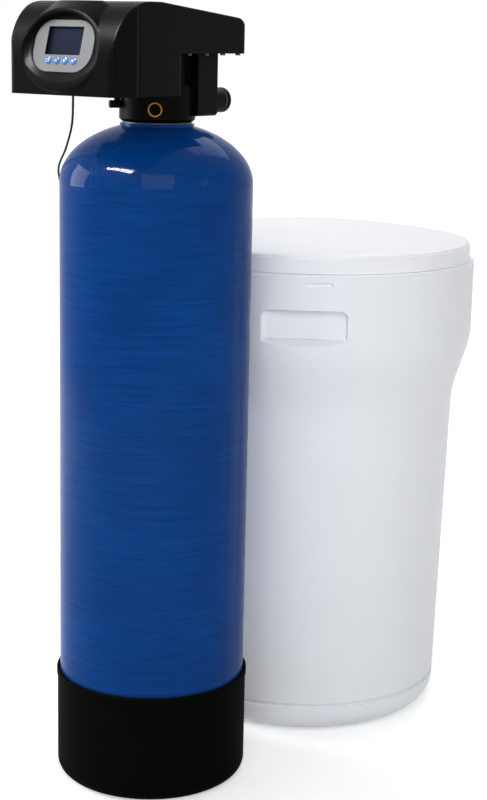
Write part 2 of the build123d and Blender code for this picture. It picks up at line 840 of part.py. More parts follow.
with BuildPart() as gear_screw:
    with BuildSketch(Plane.XY.offset(gear_bottom + hub_height - seat_gap + slip_gap)):
        Circle(hub_radius - 2)
    extrude(amount=1.5)
    with BuildSketch(Plane.XY.offset(gear_bottom + hub_height - seat_gap + slip_gap)):
        Circle(screw_radius)
    extrude(amount=-plate_screw_length + 1)
    fillet(gear_screw.faces().sort_by(Axis.Z)[-1].edges(), radius=0.6)
gear_screw.part.label = "gear_screw"
export_step(gear_screw.part, "parts/gear_screw.step")

motor_y = pinion_y - motor_offset
motor_shaft_top = gear_top + 2
with BuildPart() as drive_motor:
    with BuildSketch(Plane.XY.offset(plate_top + slip_gap)):
        with Locations((0, motor_y)):
            Circle(motor_radius)
    extrude(amount=-motor_height)
    fillet(drive_motor.edges().group_by(Axis.Z)[0], radius=1.5)
    with BuildSketch(Plane.XY.offset(plate_top + slip_gap)):
        with Locations((0, motor_y)):
            Circle(motor_radius + 1)
            with GridLocations(2 * motor_ear_spread, 0, 2, 1):
                Circle(motor_ear_radius)
            Rectangle(2 * motor_ear_spread, 2 * motor_ear_radius)
            with GridLocations(2 * motor_ear_spread, 0, 2, 1):
                Circle(screw_radius + running_gap, mode=Mode.SUBTRACT)
    extrude(amount=motor_flange_thickness)
    with BuildSketch(Plane.XY.offset(plate_top)):
        with Locations((0, pinion_y)):
            Circle(motor_shaft_radius)
    extrude(amount=motor_shaft_top - plate_top)
drive_motor.part.label = "drive_motor"
export_step(drive_motor.part, "parts/drive_motor.step")

pinion_shift = 90 + 180 / pinion_teeth
with BuildPart() as motor_pinion:
    with BuildSketch(Plane(origin=(0, pinion_y, gear_bottom))):
        with BuildLine():
            Polyline(*gear_outline(pinion_teeth, pinion_shift), close=True)
        make_face()
        Circle(motor_shaft_radius + running_gap, mode=Mode.SUBTRACT)
    extrude(amount=gear_width)
motor_pinion.part.label = "motor_pinion"
export_step(motor_pinion.part, "parts/motor_pinion.step")

# Control head: mounting plate, cover, bezel and display


def plan_sketch(inset):
    """Plan outline of the head, drawn in by inset, with rounded corners."""
    front = head_front_half_width - inset
    side = head_half_width - inset
    with BuildSketch() as plan:
        with BuildLine():
            Polyline(
                (-front, head_front + inset),
                (front, head_front + inset),
                (side, head_shoulder),
                (side, head_back - inset),
                (-side, head_back - inset),
                (-side, head_shoulder),
                close=True,
            )
        make_face()
        fillet(plan.vertices().group_by(Axis.Y)[0], radius=corner_round - inset / 2)
        fillet(plan.vertices().group_by(Axis.Y)[-1], radius=corner_round - inset / 2)
    return plan.sketch


def head_form(inset):
    """Solid of the control head's outer form, drawn in by inset on every side."""
    roof = roof_height - inset
    back = head_back - inset
    back_height = roof - roof_slope * (back - roof_ridge)
    plan = plan_sketch(inset)
    with BuildPart() as form:
        with BuildSketch(Plane.YZ) as side:
            with BuildLine():
                reach = brow_centre - head_front - inset
                EllipticalCenterArc(
                    (brow_centre, brow_height), reach, roof - brow_height, start_angle=90, arc_size=90
                )
                Polyline(
                    (head_front + inset, brow_height),
                    (head_front + inset, head_bottom + inset),
                    (overhang_front - inset, head_bottom + inset),
                    (overhang_front - inset, overhang_bottom + inset),
                    (back, overhang_bottom + inset),
                    (back, back_height),
                    (roof_ridge, roof),
                    (brow_centre, roof),
                )
            make_face()
            rear_corner = side.vertices().group_by(Axis.X)[-1].sort_by(Axis.Y)[-1]
            fillet(rear_corner, radius=rear_round - inset)
        extrude(amount=head_half_width, both=True)
        with BuildSketch(Plane.XY.offset(head_bottom)):
            add(plan)
        extrude(amount=roof_height - head_bottom, mode=Mode.INTERSECT)
    return form.part


panel_normal = Vector(0, -cos(radians(panel_tilt)), sin(radians(panel_tilt)))
panel_up = Vector(0, sin(radians(panel_tilt)), cos(radians(panel_tilt)))
window_plane = Plane(origin=(panel_x, panel_y, panel_height), x_dir=(1, 0, 0), z_dir=panel_normal)
label_centre = window_plane.origin - panel_up * panel_drop
label_plane = Plane(origin=label_centre, x_dir=(1, 0, 0), z_dir=panel_normal)
crest_normal = Vector(0, -cos(radians(crest_tilt)), sin(radians(crest_tilt)))
crest_plane = Plane(origin=(panel_x, crest_y, crest_height), x_dir=(1, 0, 0), z_dir=crest_normal)


def pocket_form(margin):
    """Solid between the rim's opening and the pocket's floor, grown by margin sideways and inwards."""
    with BuildPart() as form:
        with BuildSketch(crest_plane.offset(1)):
            Ellipse(crest_half_width + margin, crest_half_height + margin)
        with BuildSketch(label_plane.offset(-margin)):
            Ellipse(pocket_half_width + margin, pocket_half_height + margin)
        loft(ruled=True)
        with BuildSketch(crest_plane.offset(1)):
            Ellipse(crest_half_width + margin, crest_half_height + margin)
        extrude(amount=4 * rim_width)
    return form.part


button_places = [((index - 1.5) * button_pitch, panel_drop - button_drop) for index in range(4)]
board_posts = [(side * board_post_x, level * board_post_y) for side in (-1, 1) for level in (-1, 1)]

with BuildPart() as rim_form:
    with BuildSketch(crest_plane):
        Ellipse(crest_half_width + rim_width, crest_half_height + rim_width)
    extrude(amount=-34, taper=-rim_taper)
    with BuildSketch(Plane.XY.offset(head_bottom)):
        with Locations((0, (head_front + seam_place) / 2)):
            Rectangle(2 * head_front_half_width - 2, 2 * (seam_place - head_front))
    extrude(amount=roof_height - head_bottom, mode=Mode.INTERSECT)

outer_form = head_form(0)
inner_form = head_form(cover_wall)
pocket = pocket_form(0)
pocket_backing = pocket_form(cover_wall)
with BuildPart() as head_cavity:
    add(inner_form)
    with Locations((0, 0, -cover_wall - 1)):
        add(inner_form)

with BuildPart() as bezel_cavity:
    add(head_cavity.part)
    add(pocket_backing, mode=Mode.SUBTRACT)

with BuildPart() as front_bezel:
    add(outer_form)
    add(rim_form.part)
    add(bezel_cavity.part, mode=Mode.SUBTRACT)
    add(pocket, mode=Mode.SUBTRACT)
    split(bisect_by=Plane.XZ.offset(-seam_place), keep=Keep.TOP)
    with BuildSketch(label_plane.offset(-cover_wall)):
        with Locations(*board_posts):
            Circle(board_post_radius)
    extrude(amount=cover_wall - board_depth + slip_gap)
    with BuildSketch(window_plane.offset(1)):
        Rectangle(window_width + 2 * slip_gap, window_height + 2 * slip_gap)
    extrude(amount=-cover_wall - 3, mode=Mode.SUBTRACT)
    with BuildSketch(label_plane.offset(1)):
        with Locations(*button_places):
            Circle(button_radius + running_gap)
    extrude(amount=-cover_wall - 3, mode=Mode.SUBTRACT)
front_bezel.part.label = "front_bezel"
export_step(front_bezel.part, "parts/front_bezel.step")

boss_places = [(side * cover_screw_x, y) for side in (-1, 1) for y in cover_screw_places]
boss_plan = plan_sketch(cover_wall / 2)
with BuildPart() as main_cover:
    add(outer_form)
    add(head_cavity.part, mode=Mode.SUBTRACT)
    step_height = plate_top - head_bottom
    with Locations((0, overhang_front, head_bottom + step_height / 2 - 1)):
        Box(2 * (head_half_width - cover_wall), 4 * cover_wall, step_height + 2, mode=Mode.SUBTRACT)
    with BuildSketch(Plane.XY.offset(plate_top + seat_gap)):
        with Locations(*boss_places):
            Circle(cover_boss_radius)
        add(boss_plan, mode=Mode.INTERSECT)
    extrude(amount=cover_screw_length)
    with BuildSketch(Plane.XY.offset(plate_top)):
        with Locations(*boss_places):
            Circle(screw_radius + running_gap)
    extrude(amount=cover_screw_length, mode=Mode.SUBTRACT)
    split(bisect_by=Plane.XZ.offset(-seam_place - seat_gap), keep=Keep.BOTTOM)
main_cover.part.label = "main_cover"
export_step(main_cover.part, "parts/main_cover.step")

plate_inset = cover_wall + seat_gap
plate_plan = plan_sketch(plate_inset)
step_back = overhang_front
shelf_front = motor_y - motor_radius - 6
with BuildPart() as mounting_plate:
    with BuildSketch(Plane.YZ):
        with BuildLine():
            Polyline(
                (head_front + plate_inset, head_bottom),
                (step_back, head_bottom),
                (step_back, overhang_bottom),
                (head_back - plate_inset, overhang_bottom),
                (head_back - plate_inset, plate_top),
                (shelf_front, plate_top),
                (shelf_front, overhang_bottom),
                (step_back - plate_thickness, overhang_bottom),
                (step_back - plate_thickness, head_bottom + plate_thickness),
                (head_front + plate_inset, head_bottom + plate_thickness),
                close=True,
            )
        make_face()
    extrude(amount=head_half_width, both=True)
    with BuildSketch(Plane.XY.offset(head_bottom)):
        add(plate_plan)
    extrude(amount=plate_top - head_bottom, mode=Mode.INTERSECT)
    with BuildSketch(Plane.XY.offset(overhang_bottom)):
        Circle(chamber_radius + seat_gap)
        with Locations((0, motor_y)):
            Circle(motor_radius + seat_gap)
        with Locations(*boss_places):
            Circle(screw_radius + running_gap)
        for side in (-1, 1):
            with Locations(*[(side * plate_screw_x, y) for y in plate_screw_places]):
                Circle(screw_radius + running_gap)
        for side in (-1, 1):
            with Locations((side * motor_ear_spread, motor_y)):
                Circle(screw_radius + running_gap)
    extrude(amount=plate_thickness, mode=Mode.SUBTRACT)
    with BuildSketch(Plane.XY.offset(head_bottom)):
        with Locations((gland_x, gland_y)):
            Circle(gland_radius + running_gap)
    extrude(amount=plate_thickness, mode=Mode.SUBTRACT)
mounting_plate.part.label = "mounting_plate"
export_step(mounting_plate.part, "parts/mounting_plate.step")

with BuildPart() as cover_screws:
    with BuildSketch(Plane.XY.offset(overhang_bottom - running_gap)):
        with Locations(*boss_places):
            Circle(screw_head_radius)
    extrude(amount=-screw_head_height)
    with BuildSketch(Plane.XY.offset(overhang_bottom - running_gap)):
        with Locations(*boss_places):
            Circle(screw_radius)
    extrude(amount=cover_screw_length)
cover_screws.part.label = "cover_screws"
export_step(cover_screws.part, "parts/cover_screws.step")

plate_screw_spots = [(side * plate_screw_x, y) for side in (-1, 1) for y in plate_screw_places]
with BuildPart() as plate_screws:
    with BuildSketch(Plane.XY.offset(plate_top + running_gap)):
        with Locations(*plate_screw_spots):
            Circle(screw_head_radius)
    extrude(amount=screw_head_height)
    with BuildSketch(Plane.XY.offset(plate_top + running_gap)):
        with Locations(*plate_screw_spots):
            Circle(screw_radius)
    extrude(amount=-plate_screw_length)
plate_screws.part.label = "plate_screws"
export_step(plate_screws.part, "parts/plate_screws.step")

with BuildPart() as motor_screws:
    motor_head = plate_top + slip_gap + motor_flange_thickness + running_gap
    with BuildSketch(Plane.XY.offset(motor_head)):
        with Locations((-motor_ear_spread, motor_y), (motor_ear_spread, motor_y)):
            Circle(screw_head_radius)
    extrude(amount=screw_head_height)
    with BuildSketch(Plane.XY.offset(motor_head)):
        with Locations((-motor_ear_spread, motor_y), (motor_ear_spread, motor_y)):
            Circle(screw_radius)
    extrude(amount=-8)
motor_screws.part.label = "motor_screws"
export_step(motor_screws.part, "parts/motor_screws.step")

with BuildPart() as display_label:
    with BuildSketch(label_plane.offset(slip_gap)):
        RectangleRounded(label_width, label_height, label_round)
        with Locations(*button_places):
            Circle(button_radius + running_gap, mode=Mode.SUBTRACT)
        with Locations((0, panel_drop)):
            Rectangle(window_width + 2 * slip_gap, window_height + 2 * slip_gap, mode=Mode.SUBTRACT)
    extrude(amount=label_thickness)
display_label.part.label = "display_label"
export_step(display_label.part, "parts/display_label.step")

with BuildPart() as display_window:
    with BuildSketch(window_plane.offset(-window_depth)):
        RectangleRounded(window_width, window_height, window_round)
    extrude(amount=-window_thickness)
display_window.part.label = "display_window"
export_step(display_window.part, "parts/display_window.step")

module_face = cover_wall + slip_gap
with BuildPart() as display_module:
    with BuildSketch(window_plane.offset(-module_face)):
        Rectangle(window_width + 2 * display_margin, window_height + display_margin)
    extrude(amount=-display_depth)
    with BuildSketch(window_plane.offset(-module_face)):
        Rectangle(window_width + 2 * slip_gap, window_height + 2 * slip_gap)
    extrude(amount=module_face - window_depth - window_thickness - slip_gap, mode=Mode.SUBTRACT)
display_module.part.label = "display_module"
export_step(display_module.part, "parts/display_module.step")

with BuildPart() as control_board:
    with BuildSketch(label_plane.offset(-board_depth)):
        Rectangle(board_width, board_height)
    extrude(amount=-board_thickness)
    switch_face = cover_wall + slip_gap + button_flange + button_stem_length + button_travel + slip_gap
    with BuildSketch(label_plane.offset(-board_depth)):
        with Locations(*button_places):
            Rectangle(switch_size, switch_size)
    extrude(amount=board_depth - switch_face)
    with BuildSketch(label_plane.offset(-board_depth - board_thickness)):
        with Locations((-30, 8)):
            Rectangle(18, 12)
        with Locations((32, -10)):
            Rectangle(14, 22)
        with Locations((30, 20)):
            Circle(5)
    extrude(amount=-7)
control_board.part.label = "control_board"
export_step(control_board.part, "parts/control_board.step")

button_names = ("menu_button", "up_button", "down_button", "enter_button")
for button_name, button_place in zip(button_names, button_places):
    with BuildPart() as button:
        with BuildSketch(label_plane.offset(slip_gap + label_thickness + button_proud)):
            with Locations(button_place):
                Circle(button_radius)
        extrude(amount=-slip_gap - label_thickness - button_proud - cover_wall - slip_gap)
        panel_axis = Axis(label_plane.origin, panel_normal)
        fillet(button.edges().filter_by(GeomType.CIRCLE).sort_by(panel_axis)[-1], radius=1)
        with BuildSketch(label_plane.offset(-cover_wall - slip_gap)):
            with Locations(button_place):
                Circle(button_flange_radius)
        extrude(amount=-button_flange)
        with BuildSketch(label_plane.offset(-cover_wall - slip_gap - button_flange)):
            with Locations(button_place):
                Circle(button_stem)
        extrude(amount=-button_stem_length)
    button.part.label = button_name
    export_step(button.part, f"parts/{button_name}.step")

# Power lead: gland, lead, coil and adapter

lead_bottom = lead_radius + slip_gap
gland_bottom = head_bottom - slip_gap - gland_flange
with BuildPart() as power_gland:
    with BuildSketch(Plane.XY.offset(head_bottom - slip_gap)):
        with Locations((gland_x, gland_y)):
            Circle(gland_flange_radius)
    extrude(amount=-gland_flange)
    with BuildSketch(Plane.XY.offset(head_bottom - slip_gap)):
        with Locations((gland_x, gland_y)):
            Circle(gland_radius)
    extrude(amount=plate_thickness + 2)
power_gland.part.label = "power_gland"
export_step(power_gland.part, "parts/power_gland.step")

coil_outer_radius = coil_inner_radius + coil_turns * coil_pitch
lead_end_x = coil_x + coil_outer_radius
lead_points = [
    (gland_x, gland_y, gland_bottom),
    (gland_x, gland_y, 928.0),
    (-45.6, -116.6, 911.0),
    (-51.0, -113.0, 898.5),
    (-58.6, -108.2, 888.2),
    (-67.0, -102.8, 877.6),
    (-76.4, -97.2, 867.0),
    (-89.4, -88.8, 857.4),
    (-103.8, -77.6, 847.0),
    (-116.4, -63.5, 833.4),
    (-125.2, -47.1, 814.8),
    (-130.5, -32.1, 787.0),
    (-133.2, -19.7, 748.0),
    (-134.2, -10.8, 700.0),
    (-134.2, -4.0, 646.0),
    (-134.6, 5.0, 589.0),
    (-134.2, 12.0, 531.0),
    (-134.8, 16.0, 472.0),
    (-134.6, 22.0, 413.0),
    (-135.4, 25.0, 354.0),
    (-135.0, 30.0, 295.0),
    (-136.4, 32.0, 236.0),
    (-138.6, 35.0, 180.0),
    (-142.0, 37.0, 131.0),
    (-147.0, 40.0, 90.0),
    (-152.0, 45.0, 56.0),
    (-156.5, 52.5, 28.0),
    (-160.0, 68.0, 9.0),
    (-162.4, 88.0, lead_bottom),
    (lead_end_x, 104.0, lead_bottom),
    (lead_end_x, coil_y - coil_tail, lead_bottom),
]


def corner_radii(points):
    """Arc radius at each inner point: as large as its two runs allow."""
    radii = []
    for before, here, after in zip(points, points[1:], points[2:]):
        first = Vector(*here) - Vector(*before)
        second = Vector(*after) - Vector(*here)
        half_turn = radians(first.get_angle(second)) / 2
        radii.append(0.45 * min(first.length, second.length) / tan(half_turn))
    return radii


lead_radii = corner_radii(lead_points)
with BuildPart() as power_lead:
    with BuildLine() as lead_route:
        FilletPolyline(*lead_points, radius=lead_radii)
    with BuildSketch(Plane(origin=lead_route.line @ 0, z_dir=lead_route.line % 0)):
        Circle(lead_radius)
    sweep()
power_lead.part.label = "power_lead"
export_step(power_lead.part, "parts/power_lead.step")
lead_length = sum(edge.length for edge in lead_route.edges())
print("lead radii", [round(radius, 1) for radius in lead_radii])
lead_volume = pi * lead_radius**2 * lead_length
print("lead length", round(lead_length, 1), "volume ratio", power_lead.part.volume / lead_volume)

# The coil lies flat: it winds inwards on the floor, climbs a layer at the middle, and winds out again.
coil_low = lead_bottom
coil_high = lead_bottom + coil_pitch
coil_steps = [coil_outer_radius - index * coil_pitch / 2 for index in range(2 * coil_turns)]
coil_steps[-1] = coil_inner_radius
coil_sides = [(radius, coil_low) for radius in coil_steps]
coil_sides += [(radius, coil_high) for radius in reversed(coil_steps)]
coil_sides += [(coil_outer_radius + coil_pitch / 2, coil_high)]
coil_ends = [
    Vector(coil_x + (-1) ** index * radius, coil_y, height) for index, (radius, height) in enumerate(coil_sides)
]
coil_exit = coil_ends[-1] + Vector(0, coil_tail, 0)
with BuildPart() as power_lead_coil:
    with BuildLine() as coil_route:
        Line(coil_ends[0] - Vector(0, coil_tail, 0), coil_ends[0])
        for index, (start, end) in enumerate(zip(coil_ends, coil_ends[1:])):
            reach = (end - start).length / 2
            middle = (start + end) * 0.5 + Vector(0, (-1) ** index * reach, 0)
            ThreePointArc(start, middle, end)
        Line(coil_ends[-1], coil_exit)
    with BuildSketch(Plane(origin=coil_ends[0] - Vector(0, coil_tail, 0), z_dir=(0, 1, 0))):
        Circle(lead_radius)
    sweep()
power_lead_coil.part.label = "power_lead_coil"
export_step(power_lead_coil.part, "parts/power_lead_coil.step")


def least_gap(edges, apart):
    """Smallest gap between stretches of the coil that lie more than a length apart along it."""
    points = []
    place = 0
    for edge in edges:
        steps = max(2, int(edge.length / 1.5))
        points += [(place + edge.length * step / steps, edge @ (step / steps)) for step in range(steps)]
        place += edge.length
    pairs = [(a, b) for index, a in enumerate(points) for b in points[index + 1:] if b[0] - a[0] > apart]
    return min((a[1] - b[1]).length for a, b in pairs) - 2 * lead_radius


coil_length = sum(edge.length for edge in coil_route.edges())
coil_gap = least_gap(coil_route.edges(), 4 * coil_inner_radius)
print("coil length", round(coil_length, 1), "gap", round(coil_gap, 2))
print("coil volume ratio", power_lead_coil.part.volume / (pi * lead_radius**2 * coil_length))

adapter_front = coil_exit.Y + relief_length
adapter_middle = adapter_front + adapter_length / 2
with BuildPart() as power_adapter:
    with BuildSketch():
        with Locations((coil_exit.X, adapter_middle)):
            RectangleRounded(adapter_width, adapter_length, adapter_round)
    extrude(amount=adapter_height)
    fillet(power_adapter.edges().group_by(Axis.Z)[-1], radius=2.5)
    fillet(power_adapter.edges().group_by(Axis.Z)[0], radius=1)
    with BuildSketch(Plane(origin=coil_exit, z_dir=(0, 1, 0))):
        Circle(relief_radius)
    extrude(amount=relief_length + 4, taper=-2)
    with BuildSketch(Plane.XY.offset(adapter_height)):
        with Locations((coil_exit.X, adapter_middle)):
            with GridLocations(pin_spread, 0, 2, 1):
                Circle(pin_radius + running_gap)
    extrude(amount=-pin_length / 3, mode=Mode.SUBTRACT)
power_adapter.part.label = "power_adapter"
export_step(power_adapter.part, "parts/power_adapter.step")

with BuildPart() as adapter_pins:
    with BuildSketch(Plane.XY.offset(adapter_height - pin_length / 3 + running_gap)):
        with Locations((coil_exit.X, adapter_middle)):
            with GridLocations(pin_spread, 0, 2, 1):
                Circle(pin_radius)
    extrude(amount=pin_length + pin_length / 3)
    fillet(adapter_pins.edges().group_by(Axis.Z)[-1], radius=1)
adapter_pins.part.label = "adapter_pins"
export_step(adapter_pins.part, "parts/adapter_pins.step")

# Brine tank and its lid

tank_axis = Axis((0, tank_y, 0), (0, 0, 1))
tank_section = Plane(origin=(0, tank_y, 0), x_dir=(1, 0, 0), z_dir=(0, -1, 0))
tank_band_bottom = tank_waist_height + tank_shoulder_height
tank_rim_height = tank_band_bottom + tank_band_height
tank_mouth_radius = tank_radius - tank_rim_lip
tank_waist_radius = tank_radius - tank_shoulder_step
tank_slope = tank_taper / (tank_waist_height - tank_groove_height)
recess_middle = tank_band_bottom + recess_rise
recess_bottom = recess_middle - recess_height / 2 + recess_floor_round
notch_middle = tank_rim_height - notch_drop
brine_line_height = tank_band_bottom + brine_line_rise
overflow_height = tank_band_bottom + overflow_rise
lid_radius = tank_radius - lid_step
lid_top = tank_rim_height + lid_rise
well_top = tank_rim_height - well_drop


def tank_radius_at(height):
    """Outer radius of the tank's tapered lower wall at a height."""
    return tank_waist_radius - tank_slope * (tank_waist_height - height)


def tank_form(inset, top, mouth):
    """Solid of the brine tank's outer form, drawn in by inset, up to a top with a mouth radius above it."""
    floor = foot_pad_height + inset
    with BuildPart() as form:
        with BuildSketch(tank_section) as section:
            with BuildLine():
                Polyline(
                    (0, floor),
                    (tank_radius_at(floor) - inset, floor),
                    (tank_waist_radius - inset, tank_waist_height),
                    (tank_radius - inset, tank_band_bottom),
                    (tank_radius - inset, top),
                    (mouth, top),
                    (mouth, tank_rim_height + inset),
                    (0, tank_rim_height + inset),
                    close=True,
                )
            make_face()
            fillet(section.vertices().group_by(Axis.Y)[0].sort_by(Axis.X)[-1], radius=tank_base_round - inset)
            waist = section.vertices().filter_by_position(Axis.Y, tank_waist_height - 1, tank_waist_height + 1)
            fillet(waist, radius=tank_shoulder_round)
            band = section.vertices().filter_by_position(Axis.Y, tank_band_bottom - 1, tank_band_bottom + 1)
            fillet(band, radius=tank_shoulder_round)
        revolve(axis=tank_axis)
    return form.part


def tank_plane(direction, radius, height):
    """Plane square to the tank's radius in a direction, facing outwards, with its Y axis up."""
    outward = Vector(cos(radians(direction)), sin(radians(direction)), 0)
    along = Vector(-sin(radians(direction)), cos(radians(direction)), 0)
    return Plane(origin=Vector(0, tank_y, height) + outward * radius, x_dir=along, z_dir=outward)


def tank_side_plane(direction, height):
    """Upright plane through the tank's axis in a direction, with its X axis outwards and its Y axis up."""
    outward = Vector(cos(radians(direction)), sin(radians(direction)), 0)
    return Plane(origin=(0, tank_y, height), x_dir=outward, z_dir=outward.cross(Vector(0, 0, 1)))


tank_outer = tank_form(0, tank_rim_height - tank_rim_round, tank_radius - tank_rim_round)
tank_cavity = tank_form(tank_wall, tank_rim_height - tank_rim_thickness, tank_mouth_radius)
recess_directions = (recess_direction, recess_direction + 180)
with BuildPart() as recess_pads:
    for direction in recess_directions:
        with BuildSketch(tank_plane(direction, tank_radius, recess_middle - recess_ledge / 2)):
            Rectangle(recess_width + 2 * tank_wall, recess_height + recess_ledge + 2 * tank_wall)
        extrude(amount=-recess_depth - tank_wall)
    for direction in recess_directions:
        with BuildSketch(tank_side_plane(direction, recess_bottom - 1.3 * tank_wall)):
            Polygon(
                (tank_radius - recess_depth - 2 * tank_wall, 0),
                (tank_radius - recess_depth, 0),
                (tank_radius - tank_wall, -recess_ledge * (recess_depth - tank_wall) / recess_depth),
                (tank_radius - tank_wall, -4 * recess_ledge),
                (tank_radius - recess_depth - 2 * tank_wall, -4 * recess_ledge),
                align=None,
            )
        extrude(amount=recess_width, both=True, mode=Mode.SUBTRACT)
    add(tank_outer, mode=Mode.INTERSECT)

brine_line_plane = tank_plane(well_direction, tank_radius, brine_line_height)
overflow_plane = tank_plane(overflow_direction, tank_radius, overflow_height)
with BuildPart() as brine_tank:
    add(tank_outer)
    add(tank_cavity, mode=Mode.SUBTRACT)
    add(recess_pads.part)
    for direction in recess_directions:
        with BuildSketch(tank_plane(direction, tank_radius - recess_depth, recess_middle)):
            RectangleRounded(recess_width - 6, recess_height - 6, recess_floor_round)
        extrude(amount=2 * recess_depth, taper=-10, mode=Mode.SUBTRACT)
        with BuildSketch(tank_side_plane(direction, recess_bottom)):
            Polygon(
                (tank_radius - recess_depth, 0),
                (tank_radius + recess_depth, 0),
                (tank_radius + recess_depth, -2 * recess_ledge),
                align=None,
            )
        extrude(amount=recess_width / 2 - 2, both=True, mode=Mode.SUBTRACT)
    with BuildSketch(tank_plane(notch_direction, tank_radius - notch_depth, notch_middle)):
        RectangleRounded(notch_width, notch_height, notch_height / 2 - 0.1)
    extrude(amount=2 * notch_depth, mode=Mode.SUBTRACT)
    with BuildSketch(Plane(origin=(0, tank_y, tank_groove_height))):
        Circle(tank_radius)
        Circle(tank_radius_at(tank_groove_height) - tank_groove_depth, mode=Mode.SUBTRACT)
    extrude(amount=tank_groove_depth, both=True, mode=Mode.SUBTRACT)
    with BuildSketch(brine_line_plane):
        Circle(brine_line_radius + slip_gap)
    extrude(amount=-3 * tank_wall, mode=Mode.SUBTRACT)
    with BuildSketch(overflow_plane):
        Circle(overflow_radius + slip_gap)
    extrude(amount=-3 * tank_wall, mode=Mode.SUBTRACT)
    with BuildSketch():
        with Locations((0, tank_y)):
            with PolarLocations(foot_pad_ring, tank_foot_pads):
                Circle(foot_pad_radius)
    extrude(amount=foot_pad_height + tank_wall / 2)
brine_tank.part.label = "brine_tank"
export_step(brine_tank.part, "parts/brine_tank.step")

lid_bottom = tank_rim_height + seat_gap
lid_shoulder = lid_bottom + lid_skirt + lid_groove_width


def lid_form(inset):
    """Solid of the lid's domed outer form, drawn in by inset."""
    radius = lid_radius - inset
    edge = lid_shoulder - inset
    top = lid_top - inset
    sphere = (radius**2 + (top - edge) ** 2) / (2 * (top - edge))
    half = radius / 2
    with BuildPart() as form:
        with BuildSketch(tank_section) as section:
            with BuildLine():
                Line((0, lid_bottom), (radius, lid_bottom))
                Line((radius, lid_bottom), (radius, edge))
                ThreePointArc((radius, edge), (half, top - sphere + sqrt(sphere**2 - half**2)), (0, top))
                Line((0, top), (0, lid_bottom))
            make_face()
            fillet(section.vertices().sort_by(Axis.X)[-2:].sort_by(Axis.Y)[-1], radius=lid_round - inset)
        revolve(axis=tank_axis)
    return form.part


lid_outer = lid_form(0)
lid_inner = lid_form(lid_wall)
spigot_radius = tank_mouth_radius - 2 * seat_gap
with BuildPart() as brine_tank_lid:
    add(lid_outer)
    add(lid_inner, mode=Mode.SUBTRACT)
    with BuildSketch(Plane(origin=(0, tank_y, lid_bottom))):
        Circle(lid_radius - lid_wall / 2)
        Circle(spigot_radius - lid_wall, mode=Mode.SUBTRACT)
    extrude(amount=lid_wall)
    with BuildSketch(Plane(origin=(0, tank_y, lid_bottom + lid_wall))):
        Circle(spigot_radius)
        Circle(spigot_radius - lid_wall, mode=Mode.SUBTRACT)
    extrude(amount=-lid_spigot_depth - lid_wall)
    with BuildSketch(Plane(origin=(0, tank_y, lid_bottom + lid_skirt))):
        Circle(lid_radius + 1)
        Circle(lid_radius - lid_groove_depth, mode=Mode.SUBTRACT)
    extrude(amount=lid_groove_width, mode=Mode.SUBTRACT)
brine_tank_lid.part.label = "brine_tank_lid"
export_step(brine_tank_lid.part, "parts/brine_tank_lid.step")

# Inside the brine tank: salt grid on its legs, brine well with cap, float valve

tank_floor = foot_pad_height + tank_wall + slip_gap
well_x = well_offset * cos(radians(well_direction))
well_y = tank_y + well_offset * sin(radians(well_direction))
grid_radius = tank_radius_at(grid_height) - tank_wall - 2 * seat_gap
leg_places = [
    (grid_leg_ring * cos(radians(well_direction + turn)), grid_leg_ring * sin(radians(well_direction + turn)))
    for turn in (45, 135, 225, 315)
]


def clear_of_legs_and_well(x, y):
    """Whether a hole of the grid at x, y from the tank's axis misses the edge, the well and the legs."""
    inside = hypot(x, y) < grid_radius - 2 * grid_hole_radius
    off_well = hypot(x - well_x, y + tank_y - well_y) > well_radius + 2 * grid_hole_radius
    leg_room = grid_leg_radius + 1.2 * grid_hole_radius
    off_legs = all(hypot(x - leg[0], y - leg[1]) > leg_room for leg in leg_places)
    return inside and off_well and off_legs


hole_steps = range(-5, 6)
grid_holes = [
    (column * grid_hole_pitch, row * grid_hole_pitch)
    for column in hole_steps
    for row in hole_steps
    if clear_of_legs_and_well(column * grid_hole_pitch, row * grid_hole_pitch)
]
with BuildPart() as salt_grid:
    with BuildSketch(Plane(origin=(0, tank_y, grid_height))):
        Circle(grid_radius)
        with Locations((well_x, well_y - tank_y)):
            Circle(well_radius + seat_gap, mode=Mode.SUBTRACT)
        with Locations(*grid_holes):
            Circle(grid_hole_radius, mode=Mode.SUBTRACT)
    extrude(amount=grid_thickness)
salt_grid.part.label = "salt_grid"
export_step(salt_grid.part, "parts/salt_grid.step")

with BuildPart() as grid_legs:
    with BuildSketch(Plane(origin=(0, tank_y, tank_floor))):
        with Locations(*leg_places):
            Circle(grid_leg_radius)
            Circle(grid_leg_radius - grid_leg_wall, mode=Mode.SUBTRACT)
    extrude(amount=grid_height - tank_floor - slip_gap)
grid_legs.part.label = "grid_legs"
export_step(grid_legs.part, "parts/grid_legs.step")

well_inward = Vector(cos(radians(well_direction)), sin(radians(well_direction)), 0)
elbow_face = Plane(
    origin=Vector(well_x, well_y, brine_line_height) + well_inward * (elbow_radius + slip_gap),
    z_dir=well_inward,
)
with BuildPart() as brine_well:
    with BuildSketch(Plane(origin=(well_x, well_y, tank_floor))):
        Circle(well_radius)
        Circle(well_radius - well_wall, mode=Mode.SUBTRACT)
    extrude(amount=well_top - tank_floor)
    with BuildSketch(Plane(origin=(well_x, well_y, tank_floor))):
        with PolarLocations(well_radius, 4):
            Rectangle(4 * well_wall, well_slot_width)
    extrude(amount=well_slot_height, mode=Mode.SUBTRACT)
    with BuildSketch(elbow_face):
        Circle(brine_line_radius + slip_gap)
    extrude(amount=well_radius, mode=Mode.SUBTRACT)
brine_well.part.label = "brine_well"
export_step(brine_well.part, "parts/brine_well.step")

